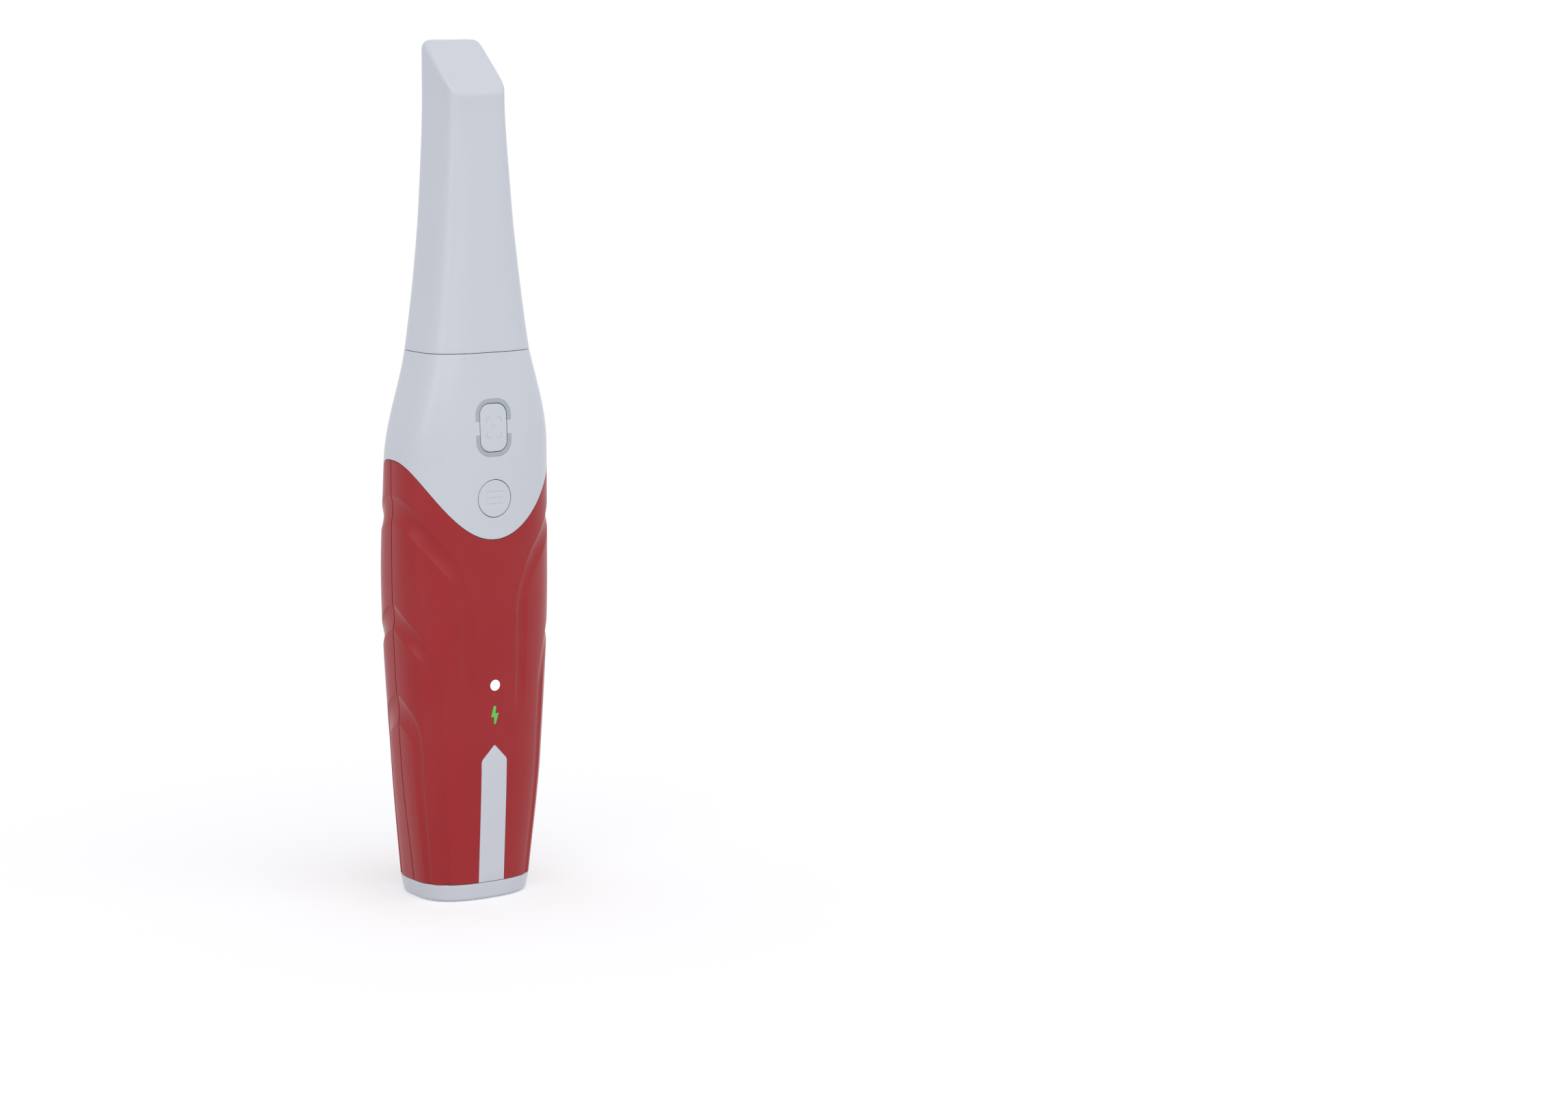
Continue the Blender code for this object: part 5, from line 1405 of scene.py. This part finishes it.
def make_mirror():
    """Mirror plate with a bevelled edge under the slanted wall."""
    width, length, thick, edge = 13.6 * MM, 15.5 * MM, 1.0 * MM, 0.2 * MM
    depth = TIP_WALL + GAP + thick / 2
    along = length * cos(SLANT_ANGLE)
    y = -HEAD_FRONT + TIP_WALL + 2 * GAP + along / 2 + thick * sin(SLANT_ANGLE)
    place = Matrix.Translation((0, y, slant_height(y, depth))) @ Matrix.Rotation(SLANT_ANGLE, 4, "X")
    outline = rounded_rectangle(0, 0, width, length, 0.6 * MM, 4)
    rows = []
    for height, inset in ((-thick / 2, edge), (-thick / 2 + edge, 0), (thick / 2 - edge, 0), (thick / 2, edge)):
        rows.append([place @ Vector((x, z, height)) for x, z in grown(outline, -inset)])
    plate = skin("tip_mirror", rows, place @ Vector((0, 0, -thick / 2)), place @ Vector((0, 0, thick / 2)))
    finish("tip_mirror_plate", plate, material("mirror"), "tip", "front_mirror", "tip_mirror")


INNER_FINISHES = {
    "board": ("light_board", "button_board", "camera_board", "main_board", "antenna_board"),
    "steel": ("scan_switch", "mode_switch", "optical_frame"),
    "black": ("lens_tube", "projector_module", "camera_sensor", "contact_block"),
    "glass": ("front_lens", "rear_lens", "beam_prism"),
    "aluminium": ("heat_sink",),
}


def paint_inner_pieces():
    """Finishes for the solids that are kept as they are."""
    for kind, names in INNER_FINISHES.items():
        for name in names:
            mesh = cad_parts[name].data
            mesh.materials.clear()
            mesh.materials.append(material(kind))


# Studio

PHOTO_WIDTH = 2296
LENS_PIXELS = 5500.0
SENSOR = 36.0
CAMERA_TURN = 0.6199
CAMERA_TILT = 0.1600
CAMERA_ROLL = 0.0062
FLOOR_REACH = 40.0
CAMERA_PLACE = Vector((-0.53184, -0.89922, 0.26556))


def make_camera():
    ahead = Vector((sin(CAMERA_TURN) * cos(CAMERA_TILT), cos(CAMERA_TURN) * cos(CAMERA_TILT), -sin(CAMERA_TILT)))
    level = Vector((cos(CAMERA_TURN), -sin(CAMERA_TURN), 0.0))
    upright = level.cross(ahead)
    right = level * cos(CAMERA_ROLL) + upright * sin(CAMERA_ROLL)
    up = upright * cos(CAMERA_ROLL) - level * sin(CAMERA_ROLL)
    data = bpy.data.cameras.new("photo_camera")
    data.sensor_width = SENSOR
    data.lens = LENS_PIXELS * SENSOR / PHOTO_WIDTH
    data.clip_start = 0.01
    data.clip_end = 20.0
    camera = bpy.data.objects.new("photo_camera", data)
    bpy.context.scene.collection.objects.link(camera)
    turn = Matrix((right, up, -ahead)).transposed().to_4x4()
    camera.matrix_world = Matrix.Translation(CAMERA_PLACE) @ turn
    bpy.context.scene.camera = camera


def soft_sun(name, direction, strength, spread):
    """Even lamp whose wide angle gives soft shadows; direction points from the object to the lamp."""
    data = bpy.data.lights.new(name, "SUN")
    data.energy = strength
    data.angle = spread
    lamp = bpy.data.objects.new(name, data)
    bpy.context.scene.collection.objects.link(lamp)
    lamp.rotation_mode = "QUATERNION"
    lamp.rotation_quaternion = Vector(direction).to_track_quat("Z", "Y")
    return lamp


def seen_rays(wire):
    """1 for rays that show the backdrop itself, straight, mirrored or through glass."""
    rays = wire.node("ShaderNodeLightPath")
    seen = wire.maths("MAXIMUM", rays.outputs["Is Camera Ray"], rays.outputs["Is Glossy Ray"])
    return wire.maths("MAXIMUM", seen, rays.outputs["Is Transmission Ray"])


def floor_material(colour, lift):
    """Matt floor, lifted to the backdrop's white where no shadow falls."""
    made, wire, shader, place = start_material("studio_floor")
    cloud = wire.noise(place, 6.0, 2.0)
    shade = wire.blend(wire.spread(cloud, 0.3, 0.7), (*colour, 1), tuple(v * 0.99 for v in colour) + (1,))
    wire.put(shader.inputs["Base Color"], shade)
    shader.inputs["Roughness"].default_value = 1.0
    shader.inputs["Specular IOR Level"].default_value = 0.0
    shader.inputs["Emission Color"].default_value = (1.0, 1.0, 1.0, 1.0)
    wire.put(shader.inputs["Emission Strength"], wire.maths("MULTIPLY", seen_rays(wire), lift))
    return made


def studio_world(settings):
    """Even soft light that shows as plain white behind the object."""
    world = bpy.data.worlds.new("studio_world")
    bpy.context.scene.world = world
    world.use_nodes = True
    tree = world.node_tree
    tree.nodes.clear()
    wire = Wiring(tree)
    soft = wire.node("ShaderNodeBackground", Color=(0.97, 0.98, 1.0, 1.0), Strength=settings.room_light)
    white = wire.node("ShaderNodeBackground", Color=(1.0, 1.0, 1.0, 1.0), Strength=1.0)
    mixed = wire.node("ShaderNodeMixShader", Fac=seen_rays(wire))
    wire.put(mixed.inputs[1], soft.outputs[0])
    wire.put(mixed.inputs[2], white.outputs[0])
    output = wire.node("ShaderNodeOutputWorld")
    wire.put(output.inputs["Surface"], mixed.outputs[0])


def make_stage():
    settings = bpy.context.scene.scanner_studio
    bm = bmesh.new()
    bmesh.ops.create_grid(bm, x_segments=2, y_segments=2, size=FLOOR_REACH)
    floor = new_object("studio_floor", to_mesh("studio_floor", bm, recalculate=False))
    floor.data.materials.append(floor_material(settings.floor, settings.floor_lift))
    soft_sun("key_lamp", (-0.12, -1.0, 1.0), settings.key_power, radians(80))
    soft_sun("side_lamp", (-0.90, -0.42, 0.13), settings.side_power, radians(35))
    studio_world(settings)
    bpy.context.scene.view_settings.view_transform = "Standard"
    make_camera()


# Operators and panel

class SCANNER_OT_grip(bpy.types.Operator):
    """Build the two red grip shells"""
    bl_idname = "scanner.grip"
    bl_label = "Grip shells"

    def execute(self, context):
        make_grip()
        return {"FINISHED"}


class SCANNER_OT_lights(bpy.types.Operator):
    """Build the strip plate and the two lights in the grip"""
    bl_idname = "scanner.lights"
    bl_label = "Strip and lights"

    def execute(self, context):
        make_lights()
        return {"FINISHED"}


class SCANNER_OT_nose(bpy.types.Operator):
    """Build the grey nose housing and the broken band round the scan button"""
    bl_idname = "scanner.nose"
    bl_label = "Nose housing"

    def execute(self, context):
        make_nose()
        make_bands()
        return {"FINISHED"}


class SCANNER_OT_buttons(bpy.types.Operator):
    """Build the scan button and the mode button"""
    bl_idname = "scanner.buttons"
    bl_label = "Buttons"

    def execute(self, context):
        make_buttons()
        return {"FINISHED"}


class SCANNER_OT_tip(bpy.types.Operator):
    """Build the pull-off tip sleeve and its mirror"""
    bl_idname = "scanner.tip"
    bl_label = "Tip"

    def execute(self, context):
        make_tip()
        make_mirror()
        return {"FINISHED"}


class SCANNER_OT_base(bpy.types.Operator):
    """Build the base cap and the battery in its case"""
    bl_idname = "scanner.base"
    bl_label = "Base and battery"

    def execute(self, context):
        make_base()
        make_battery()
        make_small_metal()
        return {"FINISHED"}


class SCANNER_OT_barrel(bpy.types.Operator):
    """Build the barrel, its window and its seal, and finish the inner pieces"""
    bl_idname = "scanner.barrel"
    bl_label = "Barrel and inner pieces"

    def execute(self, context):
        make_barrel()
        paint_inner_pieces()
        return {"FINISHED"}


class SCANNER_OT_stage(bpy.types.Operator):
    """Build the floor, the lamps and the camera"""
    bl_idname = "scanner.stage"
    bl_label = "Studio"

    def execute(self, context):
        make_stage()
        return {"FINISHED"}


OPERATORS = (SCANNER_OT_grip, SCANNER_OT_lights, SCANNER_OT_nose, SCANNER_OT_buttons, SCANNER_OT_tip,
             SCANNER_OT_base, SCANNER_OT_barrel, SCANNER_OT_stage)


class SCANNER_PT_panel(bpy.types.Panel):
    """Sizes, colours and build steps of the scanner"""
    bl_idname = "SCANNER_PT_panel"
    bl_label = "Intraoral Scanner"
    bl_space_type = "VIEW_3D"
    bl_region_type = "UI"
    bl_category = "Scanner"

    def draw(self, context):
        for group in (context.scene.scanner_sizes, context.scene.scanner_colours, context.scene.scanner_studio):
            box = self.layout.box()
            for name in group.__annotations__:
                box.prop(group, name)
        for operator in OPERATORS:
            self.layout.operator(operator.bl_idname)


GROUP_CLASSES = (ScannerSizes, ScannerColours, StudioSettings)
CLASSES = GROUP_CLASSES + OPERATORS + (SCANNER_PT_panel,)


def register():
    for item in CLASSES:
        bpy.utils.register_class(item)
    bpy.types.Scene.scanner_sizes = bpy.props.PointerProperty(type=ScannerSizes)
    bpy.types.Scene.scanner_colours = bpy.props.PointerProperty(type=ScannerColours)
    bpy.types.Scene.scanner_studio = bpy.props.PointerProperty(type=StudioSettings)


def unregister():
    for name in ("scanner_studio", "scanner_colours", "scanner_sizes"):
        delattr(bpy.types.Scene, name)
    for item in reversed(CLASSES):
        bpy.utils.unregister_class(item)


def main():
    register()
    for operator in OPERATORS:
        name = operator.bl_idname.split(".")[1]
        getattr(bpy.ops.scanner, name)()


if __name__ == "__main__":
    main()
